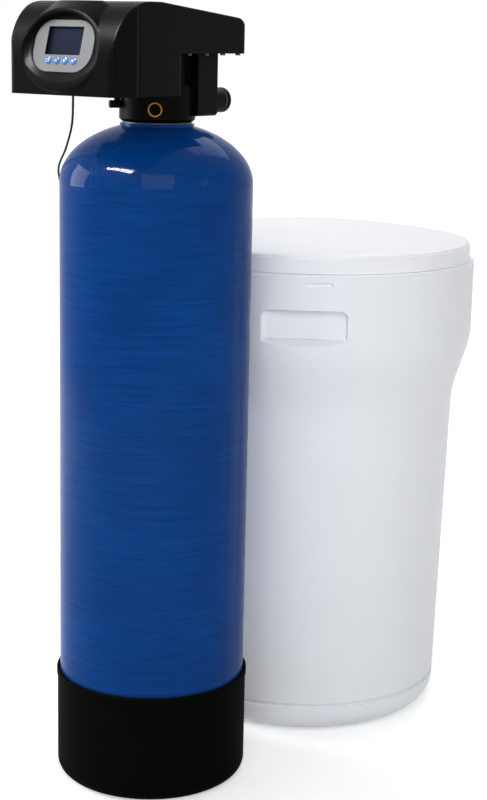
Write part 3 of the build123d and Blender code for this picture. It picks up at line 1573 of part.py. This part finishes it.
with BuildPart() as brine_well_cap:
    with BuildSketch(Plane(origin=(well_x, well_y, well_top + seat_gap + well_wall))):
        Circle(well_radius + slip_gap + well_wall)
    extrude(amount=-well_cap_height)
    fillet(brine_well_cap.edges().group_by(Axis.Z)[-1], radius=1.5)
    with BuildSketch(Plane(origin=(well_x, well_y, well_top + seat_gap))):
        Circle(well_radius + seat_gap)
    extrude(amount=-well_cap_height, mode=Mode.SUBTRACT)
brine_well_cap.part.label = "brine_well_cap"
export_step(brine_well_cap.part, "parts/brine_well_cap.step")

foot_valve_top = tank_floor + foot_valve_height
float_bottom = foot_valve_top + seat_gap
stop_bottom = float_bottom + float_height + float_travel + seat_gap
with BuildPart() as float_rod:
    with BuildSketch(Plane(origin=(well_x, well_y, tank_floor))):
        Circle(foot_valve_radius)
    extrude(amount=foot_valve_height)
    fillet(float_rod.edges().group_by(Axis.Z)[-1], radius=3)
    with BuildSketch(Plane(origin=(well_x, well_y, foot_valve_top))):
        Circle(rod_radius)
    extrude(amount=brine_line_height - foot_valve_top)
    with BuildSketch(Plane(origin=(well_x, well_y, stop_bottom))):
        Circle(2 * rod_radius)
    extrude(amount=6)
    with BuildSketch(Plane(origin=(well_x, well_y, brine_line_height))):
        Circle(elbow_radius)
    extrude(amount=elbow_radius, both=True)
float_rod.part.label = "float_rod"
export_step(float_rod.part, "parts/float_rod.step")

with BuildPart() as brine_float:
    with BuildSketch(Plane(origin=(well_x, well_y, float_bottom))):
        Circle(float_radius)
    extrude(amount=float_height)
    fillet(brine_float.edges(), radius=4)
    with BuildSketch(Plane(origin=(well_x, well_y, float_bottom))):
        Circle(rod_radius + slip_gap)
    extrude(amount=float_height, mode=Mode.SUBTRACT)
brine_float.part.label = "brine_float"
export_step(brine_float.part, "parts/brine_float.step")

brine_line_length = tank_radius + brine_line_reach - well_offset - elbow_radius - slip_gap
with BuildPart() as brine_line_tube:
    with BuildSketch(elbow_face):
        Circle(brine_line_radius)
    extrude(amount=brine_line_length - brine_end_length)
    with BuildSketch(elbow_face):
        Circle(brine_end_radius)
    extrude(amount=brine_line_length)
    with BuildSketch(elbow_face):
        Circle(brine_line_bore)
    extrude(amount=brine_line_length, mode=Mode.SUBTRACT)
brine_line_tube.part.label = "brine_line_tube"
export_step(brine_line_tube.part, "parts/brine_line_tube.step")

with BuildPart() as brine_line_nut:
    with BuildSketch(brine_line_plane.offset(seat_gap)):
        RegularPolygon(brine_nut_radius, 6)
        Circle(brine_line_radius + running_gap, mode=Mode.SUBTRACT)
    extrude(amount=brine_nut_height)
brine_line_nut.part.label = "brine_line_nut"
export_step(brine_line_nut.part, "parts/brine_line_nut.step")

with BuildPart() as overflow_elbow:
    with BuildSketch(overflow_plane.offset(-overflow_reach)):
        Circle(overflow_radius)
    extrude(amount=2 * overflow_reach)
    with BuildSketch(overflow_plane.offset(bond_gap)):
        Circle(overflow_flange_radius)
    extrude(amount=overflow_flange)
    drop_plane = Plane(origin=overflow_plane.offset(overflow_reach).origin)
    with BuildSketch(drop_plane.offset(overflow_radius)):
        Circle(overflow_radius)
    extrude(amount=-overflow_drop)
    with BuildSketch(drop_plane):
        Circle(overflow_radius - overflow_wall)
    extrude(amount=-overflow_drop, mode=Mode.SUBTRACT)
    with BuildSketch(overflow_plane.offset(-overflow_reach)):
        Circle(overflow_radius - overflow_wall)
    extrude(amount=2 * overflow_reach, mode=Mode.SUBTRACT)
overflow_elbow.part.label = "overflow_elbow"
export_step(overflow_elbow.part, "parts/overflow_elbow.step")

with BuildPart() as overflow_nut:
    with BuildSketch(overflow_plane.offset(-tank_wall - 2 * seat_gap)):
        RegularPolygon(overflow_nut_radius, 6)
        Circle(overflow_radius + running_gap, mode=Mode.SUBTRACT)
    extrude(amount=-overflow_nut_height)
overflow_nut.part.label = "overflow_nut"
export_step(overflow_nut.part, "parts/overflow_nut.step")
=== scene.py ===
from math import cos, pi, radians, sin

import bmesh
import bpy
from mathutils import Matrix, Vector


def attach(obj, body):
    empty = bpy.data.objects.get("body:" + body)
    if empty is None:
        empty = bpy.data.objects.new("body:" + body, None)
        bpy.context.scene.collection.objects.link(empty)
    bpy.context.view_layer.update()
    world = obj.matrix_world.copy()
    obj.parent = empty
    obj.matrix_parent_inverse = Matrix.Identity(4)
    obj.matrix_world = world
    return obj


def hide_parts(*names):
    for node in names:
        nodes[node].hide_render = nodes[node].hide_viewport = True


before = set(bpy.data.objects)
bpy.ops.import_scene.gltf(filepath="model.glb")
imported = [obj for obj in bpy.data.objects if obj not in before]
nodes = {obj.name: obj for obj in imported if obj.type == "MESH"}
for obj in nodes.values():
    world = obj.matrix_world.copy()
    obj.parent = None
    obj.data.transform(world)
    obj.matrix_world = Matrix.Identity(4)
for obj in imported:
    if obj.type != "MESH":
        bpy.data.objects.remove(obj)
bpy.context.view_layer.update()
scene = bpy.context.scene
scene.view_settings.view_transform = "Standard"

# Camera: the view is from the front right, from a little above the vessel's neck, tilted down at the set.
# The lens is long, so that the vessel's sides stay almost parallel.
view_turn = radians(38)
camera_distance = 2.2407
camera_height = 1.0248
tilt_down = radians(12.36)
turn_right = radians(3.11)
roll = radians(1.23)

camera = bpy.data.objects.new("camera", bpy.data.cameras.new("camera"))
camera.data.lens = 75.56
camera.data.clip_end = 30
around = Matrix.Rotation(view_turn, 4, "Z")
camera.matrix_world = (
    around
    @ Matrix.Translation((0, -camera_distance, camera_height))
    @ Matrix.Rotation(-turn_right, 4, "Z")
    @ Matrix.Rotation(pi / 2 - tilt_down, 4, "X")
    @ Matrix.Rotation(roll, 4, "Z")
)
scene.collection.objects.link(camera)
scene.camera = camera

# Power lead: a thin black flexible lead that hangs from the gland under the head, lies against the
# vessel's shoulder and side, and reaches the floor behind it. The spare length lies there in a flat coil
# of two layers, wound inwards and out again, and ends in the adapter's strain relief.
lead_radius = 0.0015
lead_drop = [
    (-0.0424, -0.1194, 0.9429),
    (-0.0424, -0.1194, 0.9280),
    (-0.0456, -0.1166, 0.9110),
    (-0.0510, -0.1130, 0.8985),
    (-0.0586, -0.1082, 0.8882),
    (-0.0670, -0.1028, 0.8776),
    (-0.0764, -0.0972, 0.8670),
    (-0.0894, -0.0888, 0.8574),
    (-0.1038, -0.0776, 0.8470),
    (-0.1164, -0.0635, 0.8334),
    (-0.1252, -0.0471, 0.8148),
    (-0.1305, -0.0321, 0.7870),
    (-0.1332, -0.0197, 0.7480),
    (-0.1342, -0.0108, 0.7000),
    (-0.1342, -0.0040, 0.6460),
    (-0.1346, 0.0050, 0.5890),
    (-0.1342, 0.0120, 0.5310),
    (-0.1348, 0.0160, 0.4720),
    (-0.1346, 0.0220, 0.4130),
    (-0.1354, 0.0250, 0.3540),
    (-0.1350, 0.0300, 0.2950),
    (-0.1364, 0.0320, 0.2360),
    (-0.1386, 0.0350, 0.1800),
    (-0.1420, 0.0370, 0.1310),
    (-0.1470, 0.0400, 0.0900),
    (-0.1520, 0.0450, 0.0560),
    (-0.1565, 0.0525, 0.0280),
    (-0.1600, 0.0680, 0.0090),
    (-0.1624, 0.0880, 0.0016),
    (-0.1630, 0.1040, 0.0016),
]
coil_x = -0.1880
coil_y = 0.1280
coil_turns = 4
coil_pitch = 0.0036
coil_inner_radius = 0.0106
coil_outer_radius = coil_inner_radius + coil_turns * coil_pitch
coil_tail = 0.0070
coil_low = 0.0016
coil_high = coil_low + coil_pitch
half_turn_points = 8

steps = [coil_outer_radius - index * coil_pitch / 2 for index in range(2 * coil_turns)]
steps[-1] = coil_inner_radius
sides = [(radius, coil_low) for radius in steps]
sides += [(radius, coil_high) for radius in reversed(steps)]
sides += [(coil_outer_radius + coil_pitch / 2, coil_high)]
ends = [Vector((coil_x + (-1) ** index * side[0], coil_y, side[1])) for index, side in enumerate(sides)]
lead_points = [Vector(point) for point in lead_drop]
lead_points.append(ends[0] - Vector((0, coil_tail, 0)))
for index, (start, end) in enumerate(zip(ends, ends[1:])):
    middle = (start + end) / 2
    reach = (end - start).length / 2
    for point in range(half_turn_points):
        turned = pi * point / half_turn_points
        bulge = Vector((0, (-1) ** index * reach * sin(turned), 0))
        lead_points.append(middle + (start - middle) * cos(turned) + bulge)
lead_points.append(ends[-1])
lead_points.append(ends[-1] + Vector((0, coil_tail, 0)))

lead_curve = bpy.data.curves.new("power_lead_run", "CURVE")
lead_curve.dimensions = "3D"
lead_curve.bevel_depth = 1
lead_curve.bevel_resolution = 3
lead_curve.resolution_u = 6
lead_curve.use_fill_caps = True
lead_spline = lead_curve.splines.new("NURBS")
lead_spline.points.add(len(lead_points) - 1)
for point, place in zip(lead_spline.points, lead_points):
    point.co = (*place, 1)
    point.radius = lead_radius
lead_spline.order_u = 3
lead_spline.use_endpoint_u = True
lead = bpy.data.objects.new("power_lead_run", lead_curve)
scene.collection.objects.link(lead)
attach(lead, "filter_set")
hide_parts("power_lead", "power_lead_coil")


def new_group(name, inputs, outputs):
    """Empty shader node group with named number or colour inputs and outputs."""
    group = bpy.data.node_groups.new(name, "ShaderNodeTree")
    for label, kind, value in inputs:
        socket = group.interface.new_socket(label, in_out="INPUT", socket_type=kind)
        socket.default_value = value
    for label, kind in outputs:
        group.interface.new_socket(label, in_out="OUTPUT", socket_type=kind)
    return group, group.nodes.new("NodeGroupInput"), group.nodes.new("NodeGroupOutput")


def moulded_skin_group():
    """Moulding's skin: fine grain, random changes of tone and gloss, round edges, and painted highlights on
    edges.
    """
    number = "NodeSocketFloat"
    colour = "NodeSocketColor"
    group, given, out = new_group(
        "moulded_skin",
        [
            ("Color", colour, (0.5, 0.5, 0.5, 1)),
            ("Roughness", number, 0.5),
            ("Grain Size", number, 0.001),
            ("Grain Depth", number, 0.2),
            ("Mottle", number, 0.1),
            ("Edge Round", number, 0.001),
            ("Painted Edge Highlight", number, 0.1),
        ],
        [("Color", colour), ("Roughness", number), ("Normal", "NodeSocketVector")],
    )
    make = group.nodes.new
    join = group.links.new
    place = make("ShaderNodeTexCoord")
    per_metre = make("ShaderNodeMath")
    per_metre.operation = "DIVIDE"
    per_metre.inputs[0].default_value = 1
    join(given.outputs["Grain Size"], per_metre.inputs[1])
    grain = make("ShaderNodeTexNoise")
    grain.inputs["Detail"].default_value = 3
    join(place.outputs["Object"], grain.inputs["Vector"])
    join(per_metre.outputs[0], grain.inputs["Scale"])
    cloud = make("ShaderNodeTexNoise")
    cloud.inputs["Scale"].default_value = 14
    cloud.inputs["Detail"].default_value = 6
    join(place.outputs["Object"], cloud.inputs["Vector"])

    round_edge = make("ShaderNodeBevel")
    round_edge.samples = 6
    join(given.outputs["Edge Round"], round_edge.inputs["Radius"])
    # Painted highlight: where the rounded normal turns away from the true one, along edges, the colour is
    # lightened.
    flat = make("ShaderNodeNewGeometry")
    bend = make("ShaderNodeVectorMath")
    bend.operation = "DOT_PRODUCT"
    join(round_edge.outputs["Normal"], bend.inputs[0])
    join(flat.outputs["Normal"], bend.inputs[1])
    edge = make("ShaderNodeMapRange")
    edge.inputs["From Min"].default_value = 1
    edge.inputs["From Max"].default_value = 0.9
    join(bend.outputs["Value"], edge.inputs["Value"])

    centred = make("ShaderNodeMath")
    centred.operation = "SUBTRACT"
    centred.inputs[1].default_value = 0.5
    join(cloud.outputs["Fac"], centred.inputs[0])
    swing = make("ShaderNodeMath")
    swing.operation = "MULTIPLY"
    join(centred.outputs[0], swing.inputs[0])
    join(given.outputs["Mottle"], swing.inputs[1])
    # The painted edge highlight and the random mottle together scale the colour.
    mottle_and_highlight = make("ShaderNodeMath")
    mottle_and_highlight.operation = "MULTIPLY_ADD"
    join(edge.outputs[0], mottle_and_highlight.inputs[0])
    join(given.outputs["Painted Edge Highlight"], mottle_and_highlight.inputs[1])
    join(swing.outputs[0], mottle_and_highlight.inputs[2])
    mottle_and_highlight_scale = make("ShaderNodeMath")
    mottle_and_highlight_scale.operation = "ADD"
    mottle_and_highlight_scale.inputs[1].default_value = 1
    join(mottle_and_highlight.outputs[0], mottle_and_highlight_scale.inputs[0])
    tinted = make("ShaderNodeVectorMath")
    tinted.operation = "SCALE"
    join(given.outputs["Color"], tinted.inputs[0])
    join(mottle_and_highlight_scale.outputs[0], tinted.inputs["Scale"])
    join(tinted.outputs[0], out.inputs["Color"])

    gloss = make("ShaderNodeMath")
    gloss.operation = "MULTIPLY_ADD"
    gloss.inputs[1].default_value = 0.6
    join(swing.outputs[0], gloss.inputs[0])
    join(given.outputs["Roughness"], gloss.inputs[2])
    join(gloss.outputs[0], out.inputs["Roughness"])

    relief = make("ShaderNodeBump")
    relief.inputs["Distance"].default_value = 0.0004
    join(given.outputs["Grain Depth"], relief.inputs["Strength"])
    join(grain.outputs["Fac"], relief.inputs["Height"])
    join(round_edge.outputs["Normal"], relief.inputs["Normal"])
    join(relief.outputs["Normal"], out.inputs["Normal"])
    return group


moulded_skin = moulded_skin_group()


# Every such material gets a painted highlight, a lighter colour along its edges, by the given edge amount.
def moulded(name, colour, roughness, grain=0.001, depth=0.15, mottle=0.1, edge=0.001, painted_edge_highlight=0.15, gloss=0.5):
    """Material of a moulded, cast or turned piece, from the moulded skin with its own values."""
    material = bpy.data.materials.new(name)
    material.use_nodes = True
    tree = material.node_tree
    shader = tree.nodes["Principled BSDF"]
    shader.inputs["Specular IOR Level"].default_value = gloss
    skin = tree.nodes.new("ShaderNodeGroup")
    skin.node_tree = moulded_skin
    skin.inputs["Color"].default_value = (*colour, 1)
    skin.inputs["Roughness"].default_value = roughness
    skin.inputs["Grain Size"].default_value = grain
    skin.inputs["Grain Depth"].default_value = depth
    skin.inputs["Mottle"].default_value = mottle
    skin.inputs["Edge Round"].default_value = edge
    skin.inputs["Painted Edge Highlight"].default_value = painted_edge_highlight
    tree.links.new(skin.outputs["Color"], shader.inputs["Base Color"])
    tree.links.new(skin.outputs["Roughness"], shader.inputs["Roughness"])
    tree.links.new(skin.outputs["Normal"], shader.inputs["Normal"])
    return material, shader


def dress(material, *names):
    """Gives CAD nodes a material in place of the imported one."""
    for name in names:
        nodes[name].material_slots[0].material = material


lead_skin, _ = moulded("lead_jacket", (0.008, 0.008, 0.008), 0.42, grain=0.0006, edge=0.0003, gloss=0.15)
lead_curve.materials.append(lead_skin)
dress(lead_skin, "power_gland")

# Adapter: a black case moulded in two halves with a satin skin, and two round plated pins that stand out of
# one end of it.
adapter_skin, _ = moulded("adapter_case", (0.014, 0.014, 0.014), 0.5, depth=0.3, edge=0.0008, gloss=0.2)
dress(adapter_skin, "power_adapter")
pin_metal, pin_shader = moulded("pin_plating", (0.62, 0.6, 0.55), 0.25, edge=0.0004, mottle=0.05)
pin_shader.inputs["Metallic"].default_value = 1
dress(pin_metal, "adapter_pins")

# Pressure vessel: glass thread wound round a liner in a deep blue gloss resin. The threads run almost level
# round the side, and steeply over the domes, and leave fine uneven ridges under the resin's clear gloss.
vessel_blue = (0.0006, 0.049, 0.235)
vessel_dark = (0.0004, 0.033, 0.165)
dome_start = 0.827
streak_lays = ((0.012, 560), (-0.016, 300))
streak_width = 13
steep_streaks = (420, 420, 40)
side_relief = 0.0003
dome_relief = 0.004


def wound_resin():
    """Blue resin over wound thread: level streaks on the side, steep ones on the dome, under a clear coat."""
    material = bpy.data.materials.new("wound_resin")
    material.use_nodes = True
    tree = material.node_tree
    make = tree.nodes.new
    join = tree.links.new
    shader = tree.nodes["Principled BSDF"]
    shader.inputs["Specular IOR Level"].default_value = 0.004
    shader.inputs["Coat Weight"].default_value = 0.5
    shader.inputs["Coat IOR"].default_value = 1.18
    shader.inputs["Coat Roughness"].default_value = 0.07
    place = make("ShaderNodeTexCoord")
    streaks = []
    for lean, fineness in streak_lays:
        lay = make("ShaderNodeMapping")
        lay.inputs["Rotation"].default_value = (lean, lean / 2, 0)
        lay.inputs["Scale"].default_value = (streak_width, streak_width, fineness)
        join(place.outputs["Object"], lay.inputs["Vector"])
        noise = make("ShaderNodeTexNoise")
        noise.inputs["Scale"].default_value = 1
        noise.inputs["Detail"].default_value = 3
        join(lay.outputs["Vector"], noise.inputs["Vector"])
        streaks.append(noise.outputs["Fac"])
    both = make("ShaderNodeMath")
    both.operation = "ADD"
    join(streaks[0], both.inputs[0])
    join(streaks[1], both.inputs[1])
    level = make("ShaderNodeMapRange")
    level.inputs["From Min"].default_value = 0.5
    level.inputs["From Max"].default_value = 1.5
    join(both.outputs[0], level.inputs["Value"])
    cloud = make("ShaderNodeTexNoise")
    cloud.inputs["Scale"].default_value = 9
    cloud.inputs["Detail"].default_value = 4
    join(place.outputs["Object"], cloud.inputs["Vector"])
    blend = make("ShaderNodeMath")
    blend.operation = "MULTIPLY"
    join(level.outputs[0], blend.inputs[0])
    join(cloud.outputs["Fac"], blend.inputs[1])
    mix = make("ShaderNodeMix")
    mix.data_type = "RGBA"
    mix.inputs["A"].default_value = (*vessel_dark, 1)
    mix.inputs["B"].default_value = (*vessel_blue, 1)
    reach = make("ShaderNodeMapRange")
    reach.inputs["From Min"].default_value = 0.1
    reach.inputs["From Max"].default_value = 0.4
    join(blend.outputs[0], reach.inputs["Value"])
    join(reach.outputs[0], mix.inputs["Factor"])
    join(mix.outputs["Result"], shader.inputs["Base Color"])
    gloss = make("ShaderNodeMapRange")
    gloss.inputs["To Min"].default_value = 0.28
    gloss.inputs["To Max"].default_value = 0.42
    join(cloud.outputs["Fac"], gloss.inputs["Value"])
    join(gloss.outputs[0], shader.inputs["Roughness"])
    steep = make("ShaderNodeMapping")
    steep.inputs["Scale"].default_value = steep_streaks
    join(place.outputs["Object"], steep.inputs["Vector"])
    crossing = make("ShaderNodeTexNoise")
    crossing.inputs["Scale"].default_value = 1
    crossing.inputs["Detail"].default_value = 2
    join(steep.outputs["Vector"], crossing.inputs["Vector"])
    split = make("ShaderNodeSeparateXYZ")
    join(place.outputs["Object"], split.inputs[0])
    on_dome = make("ShaderNodeMapRange")
    on_dome.inputs["From Min"].default_value = dome_start - 0.03
    on_dome.inputs["From Max"].default_value = dome_start + 0.02
    join(split.outputs["Z"], on_dome.inputs["Value"])
    threads = make("ShaderNodeMix")
    join(on_dome.outputs["Result"], threads.inputs["Factor"])
    join(both.outputs[0], threads.inputs["A"])
    join(crossing.outputs["Fac"], threads.inputs["B"])
    relief = make("ShaderNodeBump")
    relief.inputs["Strength"].default_value = 0.6
    depth = make("ShaderNodeMapRange")
    depth.inputs["To Min"].default_value = side_relief
    depth.inputs["To Max"].default_value = dome_relief
    join(on_dome.outputs["Result"], depth.inputs["Value"])
    join(depth.outputs["Result"], relief.inputs["Distance"])
    join(threads.outputs["Result"], relief.inputs["Height"])
    join(relief.outputs["Normal"], shader.inputs["Normal"])
    return material


dress(wound_resin(), "vessel_winding")
liner_skin, _ = moulded("liner_polythene", (0.035, 0.04, 0.03), 0.45)
dress(liner_skin, "vessel_liner")
boot_black = (0.0022, 0.0028, 0.002)
boot_skin, _ = moulded("boot_rubber", boot_black, 0.6, grain=0.0014, depth=0.35, mottle=0.3, gloss=0.006)
dress(boot_skin, "vessel_boot")

# Vessel's inside: a white riser with slotted strainers, washed gravel under amber exchange beads, and the
# black rubber rings that seal the neck and the service ports. None of it shows.
strainer_skin, _ = moulded("strainer_plastic", (0.8, 0.8, 0.78), 0.5)
dress(strainer_skin, "riser_tube", "bottom_basket", "top_basket")
gravel_skin, _ = moulded("gravel_grains", (0.45, 0.4, 0.33), 0.8, grain=0.006, depth=1, mottle=0.8)
dress(gravel_skin, "gravel_bed")
bead_skin, _ = moulded("exchange_beads", (0.5, 0.24, 0.06), 0.4, grain=0.0012, depth=1, mottle=0.4)
dress(bead_skin, "resin_bed")
seal_skin, _ = moulded("seal_rubber", (0.015, 0.015, 0.015), 0.5)
dress(seal_skin, "neck_o_ring", "port_o_rings")

# Valve body: one black glass-filled moulding with a satin skin, and a turned brass insert in its brine port.
# In it and on it are white acetal pieces, two lapped discs, steel screws and the drive motor's can.
valve_black = (0.0014, 0.0018, 0.0012)
valve_skin, _ = moulded("valve_plastic", valve_black, 0.38, depth=0.3, edge=0.0012, gloss=0.03)
dress(valve_skin, "valve_body", "blanking_plug", "injector_cover", "bonnet_nut")
brass_metal, brass_shader = moulded("port_brass", (0.2, 0.1, 0.03), 0.45, edge=0.0004, mottle=0.5)
brass_shader.inputs["Metallic"].default_value = 1
dress(brass_metal, "brine_port_insert")
acetal_skin, _ = moulded("acetal_white", (0.75, 0.75, 0.72), 0.35)
dress(acetal_skin, "injector_nozzle", "flow_cage", "flow_impeller")
dress(acetal_skin, "disc_shaft", "drive_gear", "motor_pinion")
disc_skin, _ = moulded("lapped_ceramic", (0.8, 0.8, 0.77), 0.2, depth=0.02)
dress(disc_skin, "fixed_disc", "moving_disc")
screw_metal, screw_shader = moulded("screw_steel", (0.06, 0.06, 0.058), 0.35, edge=0.0003)
screw_shader.inputs["Metallic"].default_value = 1
dress(screw_metal, "injector_screws", "cover_screws", "plate_screws", "motor_screws", "gear_screw")
motor_metal, motor_shader = moulded("motor_can", (0.5, 0.51, 0.52), 0.35)
motor_shader.inputs["Metallic"].default_value = 1
dress(motor_metal, "drive_motor")

# Control head: a black cover and bezel, moulded with a satin, finely sparked skin and softly rounded edges,
# and screwed to the mounting plate. The display's module behind the bezel has the same skin.
# The head's edges are painted lighter than the rest, as a highlight.
head_skin, _ = moulded("head_plastic", valve_black, 0.32, 0.0007, 0.25, edge=0.005, painted_edge_highlight=0.2, gloss=0.03)
dress(head_skin, "front_bezel", "main_cover", "mounting_plate", "display_module")

# Display: a silver-grey printed label round a dark clear window, four glossy blue keys that stand through
# the label, and the green board behind them.
silver_grey = (0.172, 0.184, 0.19)
label_skin, _ = moulded("label_print", silver_grey, 0.5, depth=0.05, mottle=0.06, edge=0.0004, gloss=0.15)
dress(label_skin, "display_label")
window_dark = (0.013, 0.018, 0.05)
window_skin, _ = moulded("window_pane", window_dark, 0.12, depth=0, mottle=0.3, edge=0.0003, gloss=0.15)
dress(window_skin, "display_window")
board_skin, _ = moulded("board_green", (0.02, 0.12, 0.05), 0.4)
dress(board_skin, "control_board")
key_blue = (0.03, 0.2, 0.62)
button_skin, button_shader = moulded("button_gloss", key_blue, 0.2, depth=0.02, edge=0.0006, gloss=0.3)
button_shader.inputs["Coat Weight"].default_value = 0.4
dress(button_skin, "menu_button", "up_button", "down_button", "enter_button")

# Button signs: a small white mark printed on each key's face and standing a hair above it. From the left
# they are a ring for the menu, an arrow up, an arrow down and a dot that confirms.
panel_tilt = radians(16)
panel_middle = Vector((-0.0025, -0.1807, 1.0097))
panel_drop = 0.0065
key_pitch = 0.0134
key_drop = 0.025
key_face = 0.0025
sign_radius = 0.0024
sign_height = 0.00012
panel_turn = Matrix.Rotation(pi / 2 - panel_tilt, 4, "X")
label_frame = Matrix.Translation(panel_middle) @ panel_turn @ Matrix.Translation((0, -panel_drop, 0))
sign_paint, _ = moulded("sign_print", (0.78, 0.88, 0.95), 0.35, depth=0.02)
keys = (("menu", 20, 0), ("up", 3, 0), ("down", 3, pi), ("enter", 20, 0))
for index, (key, corners, turned) in enumerate(keys):
    shape = bmesh.new()
    size = sign_radius * (0.7 if key == "enter" else 1)
    bmesh.ops.create_circle(shape, cap_ends=True, radius=size, segments=corners)
    if key == "menu":
        bmesh.ops.inset_region(
            shape, faces=shape.faces[:], use_boundary=True, use_even_offset=True, thickness=sign_radius * 0.35
        )
        middle_face = min(shape.faces, key=lambda face: face.calc_center_median().length - len(face.verts))
        bmesh.ops.delete(shape, geom=[middle_face], context="FACES")
    raised = bmesh.ops.extrude_face_region(shape, geom=shape.faces[:])
    corners_up = [part for part in raised["geom"] if isinstance(part, bmesh.types.BMVert)]
    bmesh.ops.translate(shape, verts=corners_up, vec=(0, 0, sign_height))
    bmesh.ops.recalc_face_normals(shape, faces=shape.faces[:])
    spot = ((index - 1.5) * key_pitch, panel_drop - key_drop, key_face)
    key_frame = label_frame @ Matrix.Translation(spot) @ Matrix.Rotation(turned, 4, "Z")
    bmesh.ops.transform(shape, matrix=key_frame, verts=shape.verts)
    sign_mesh = bpy.data.meshes.new(key + "_sign")
    shape.to_mesh(sign_mesh)
    shape.free()
    sign_mesh.materials.append(sign_paint)
    sign = bpy.data.objects.new(key + "_sign", sign_mesh)
    scene.collection.objects.link(sign)
    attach(sign, key + "_key")

# Brine tank: white polythene, spun thick in a heated mould, with a faint orange-peel skin. The lid is the
# same white polythene, painted a little lighter as light on its top, and a little glossier; its fittings are
# plain white mouldings.
tank_white = (0.86, 0.885, 0.925)
lid_white_painted_lighter = (0.9, 0.92, 0.955)
peel = 0.004
tank_skin, _ = moulded("tank_polythene", tank_white, 0.42, grain=peel, depth=0.12, mottle=0.04, edge=0.002)
dress(tank_skin, "brine_tank")
# The lid's white is painted lighter than the tank's, standing in for the light on its top.
lid_skin, _ = moulded("lid_polythene", lid_white_painted_lighter, 0.36, grain=peel, depth=0.1, mottle=0.04, edge=0.002)
dress(lid_skin, "brine_tank_lid")
fitting_skin, _ = moulded("fitting_plastic", (0.78, 0.79, 0.8), 0.4)
dress(fitting_skin, "salt_grid", "grid_legs", "brine_well", "brine_well_cap", "float_rod", "brine_float")
dress(fitting_skin, "brine_line_tube", "brine_line_nut", "overflow_elbow", "overflow_nut")

# Floor and light: a pale floor that fades into a white surround. A wide soft lamp stands by the camera, one
# behind on the left and one above it light the edges, and a weak one fills from the right. A bright window
# high on the left shows in the gloss alone.
floor_half = 12.0
floor_lift_near = 0.42
floor_lift_far = 0.9


def seen_ray(tree):
    """Socket that is one for what is seen straight, mirrored or through clear things, and else nothing."""
    path = tree.nodes.new("ShaderNodeLightPath")
    seen = path.outputs["Is Camera Ray"]
    for ray in ("Is Glossy Ray", "Is Transmission Ray"):
        either = tree.nodes.new("ShaderNodeMath")
        either.operation = "MAXIMUM"
        tree.links.new(seen, either.inputs[0])
        tree.links.new(path.outputs[ray], either.inputs[1])
        seen = either.outputs[0]
    return seen


def floor_paint():
    """Pale floor that keeps the set's shadow near it and is lifted to white where it is seen."""
    material = bpy.data.materials.new("floor_paint")
    material.use_nodes = True
    tree = material.node_tree
    shader = tree.nodes["Principled BSDF"]
    shader.inputs["Base Color"].default_value = (0.85, 0.85, 0.85, 1)
    shader.inputs["Roughness"].default_value = 1
    shader.inputs["Specular IOR Level"].default_value = 0
    shader.inputs["Emission Color"].default_value = (1, 1, 1, 1)
    place = tree.nodes.new("ShaderNodeTexCoord")
    from_set = tree.nodes.new("ShaderNodeVectorMath")
    from_set.operation = "DISTANCE"
    from_set.inputs[1].default_value = (0, 0.2, 0)
    tree.links.new(place.outputs["Object"], from_set.inputs[0])
    fade = tree.nodes.new("ShaderNodeMapRange")
    fade.inputs["From Min"].default_value = 0.5
    fade.inputs["From Max"].default_value = 2.0
    fade.inputs["To Min"].default_value = floor_lift_near
    fade.inputs["To Max"].default_value = floor_lift_far
    tree.links.new(from_set.outputs["Value"], fade.inputs["Value"])
    lift = tree.nodes.new("ShaderNodeMath")
    lift.operation = "MULTIPLY"
    tree.links.new(seen_ray(tree), lift.inputs[0])
    tree.links.new(fade.outputs["Result"], lift.inputs[1])
    tree.links.new(lift.outputs[0], shader.inputs["Emission Strength"])
    return material


floor_mesh = bpy.data.meshes.new("floor")
shape = bmesh.new()
bmesh.ops.create_grid(shape, x_segments=1, y_segments=1, size=floor_half)
shape.to_mesh(floor_mesh)
shape.free()
floor_mesh.materials.append(floor_paint())
floor = bpy.data.objects.new("floor", floor_mesh)
scene.collection.objects.link(floor)

world = bpy.data.worlds.new("surround")
world.use_nodes = True
scene.world = world
strength = world.node_tree.nodes.new("ShaderNodeMapRange")
strength.inputs["To Min"].default_value = 0.34
strength.inputs["To Max"].default_value = 1.0
world.node_tree.links.new(seen_ray(world.node_tree), strength.inputs["Value"])
surround = world.node_tree.nodes["Background"]
surround.inputs["Color"].default_value = (1, 1, 1, 1)
world.node_tree.links.new(strength.outputs[0], surround.inputs["Strength"])

aim = Vector((0, 0.1, 0.55))
lamps = (
    ("wide_lamp", 0.0, 2.6, 1.3, 1.7, 1.7, 38),
    ("window_lamp", -1.85, 1.33, 2.73, 1.8, 0.9, 1150),
    ("side_lamp", -2.5, -0.6, 0.8, 1.3, 1.3, 56),
    ("fill_lamp", 2.1, 1.4, 0.9, 0.5, 0.5, 2),
    ("top_lamp", 0.8, -1.3, 2.2, 1.6, 1.6, 20),
)
for name, across, towards, up, wide, high, power in lamps:
    lamp = bpy.data.objects.new(name, bpy.data.lights.new(name, "AREA"))
    lamp.data.shape = "RECTANGLE"
    lamp.data.size = wide
    lamp.data.size_y = high
    lamp.visible_diffuse = name != "window_lamp"
    lamp.data.energy = power
    where = aim + around.to_3x3() @ Vector((across, -towards, up))
    facing = (aim - where).to_track_quat("-Z", "Y").to_matrix().to_4x4()
    lamp.matrix_world = Matrix.Translation(where) @ facing
    scene.collection.objects.link(lamp)

bpy.context.view_layer.update()
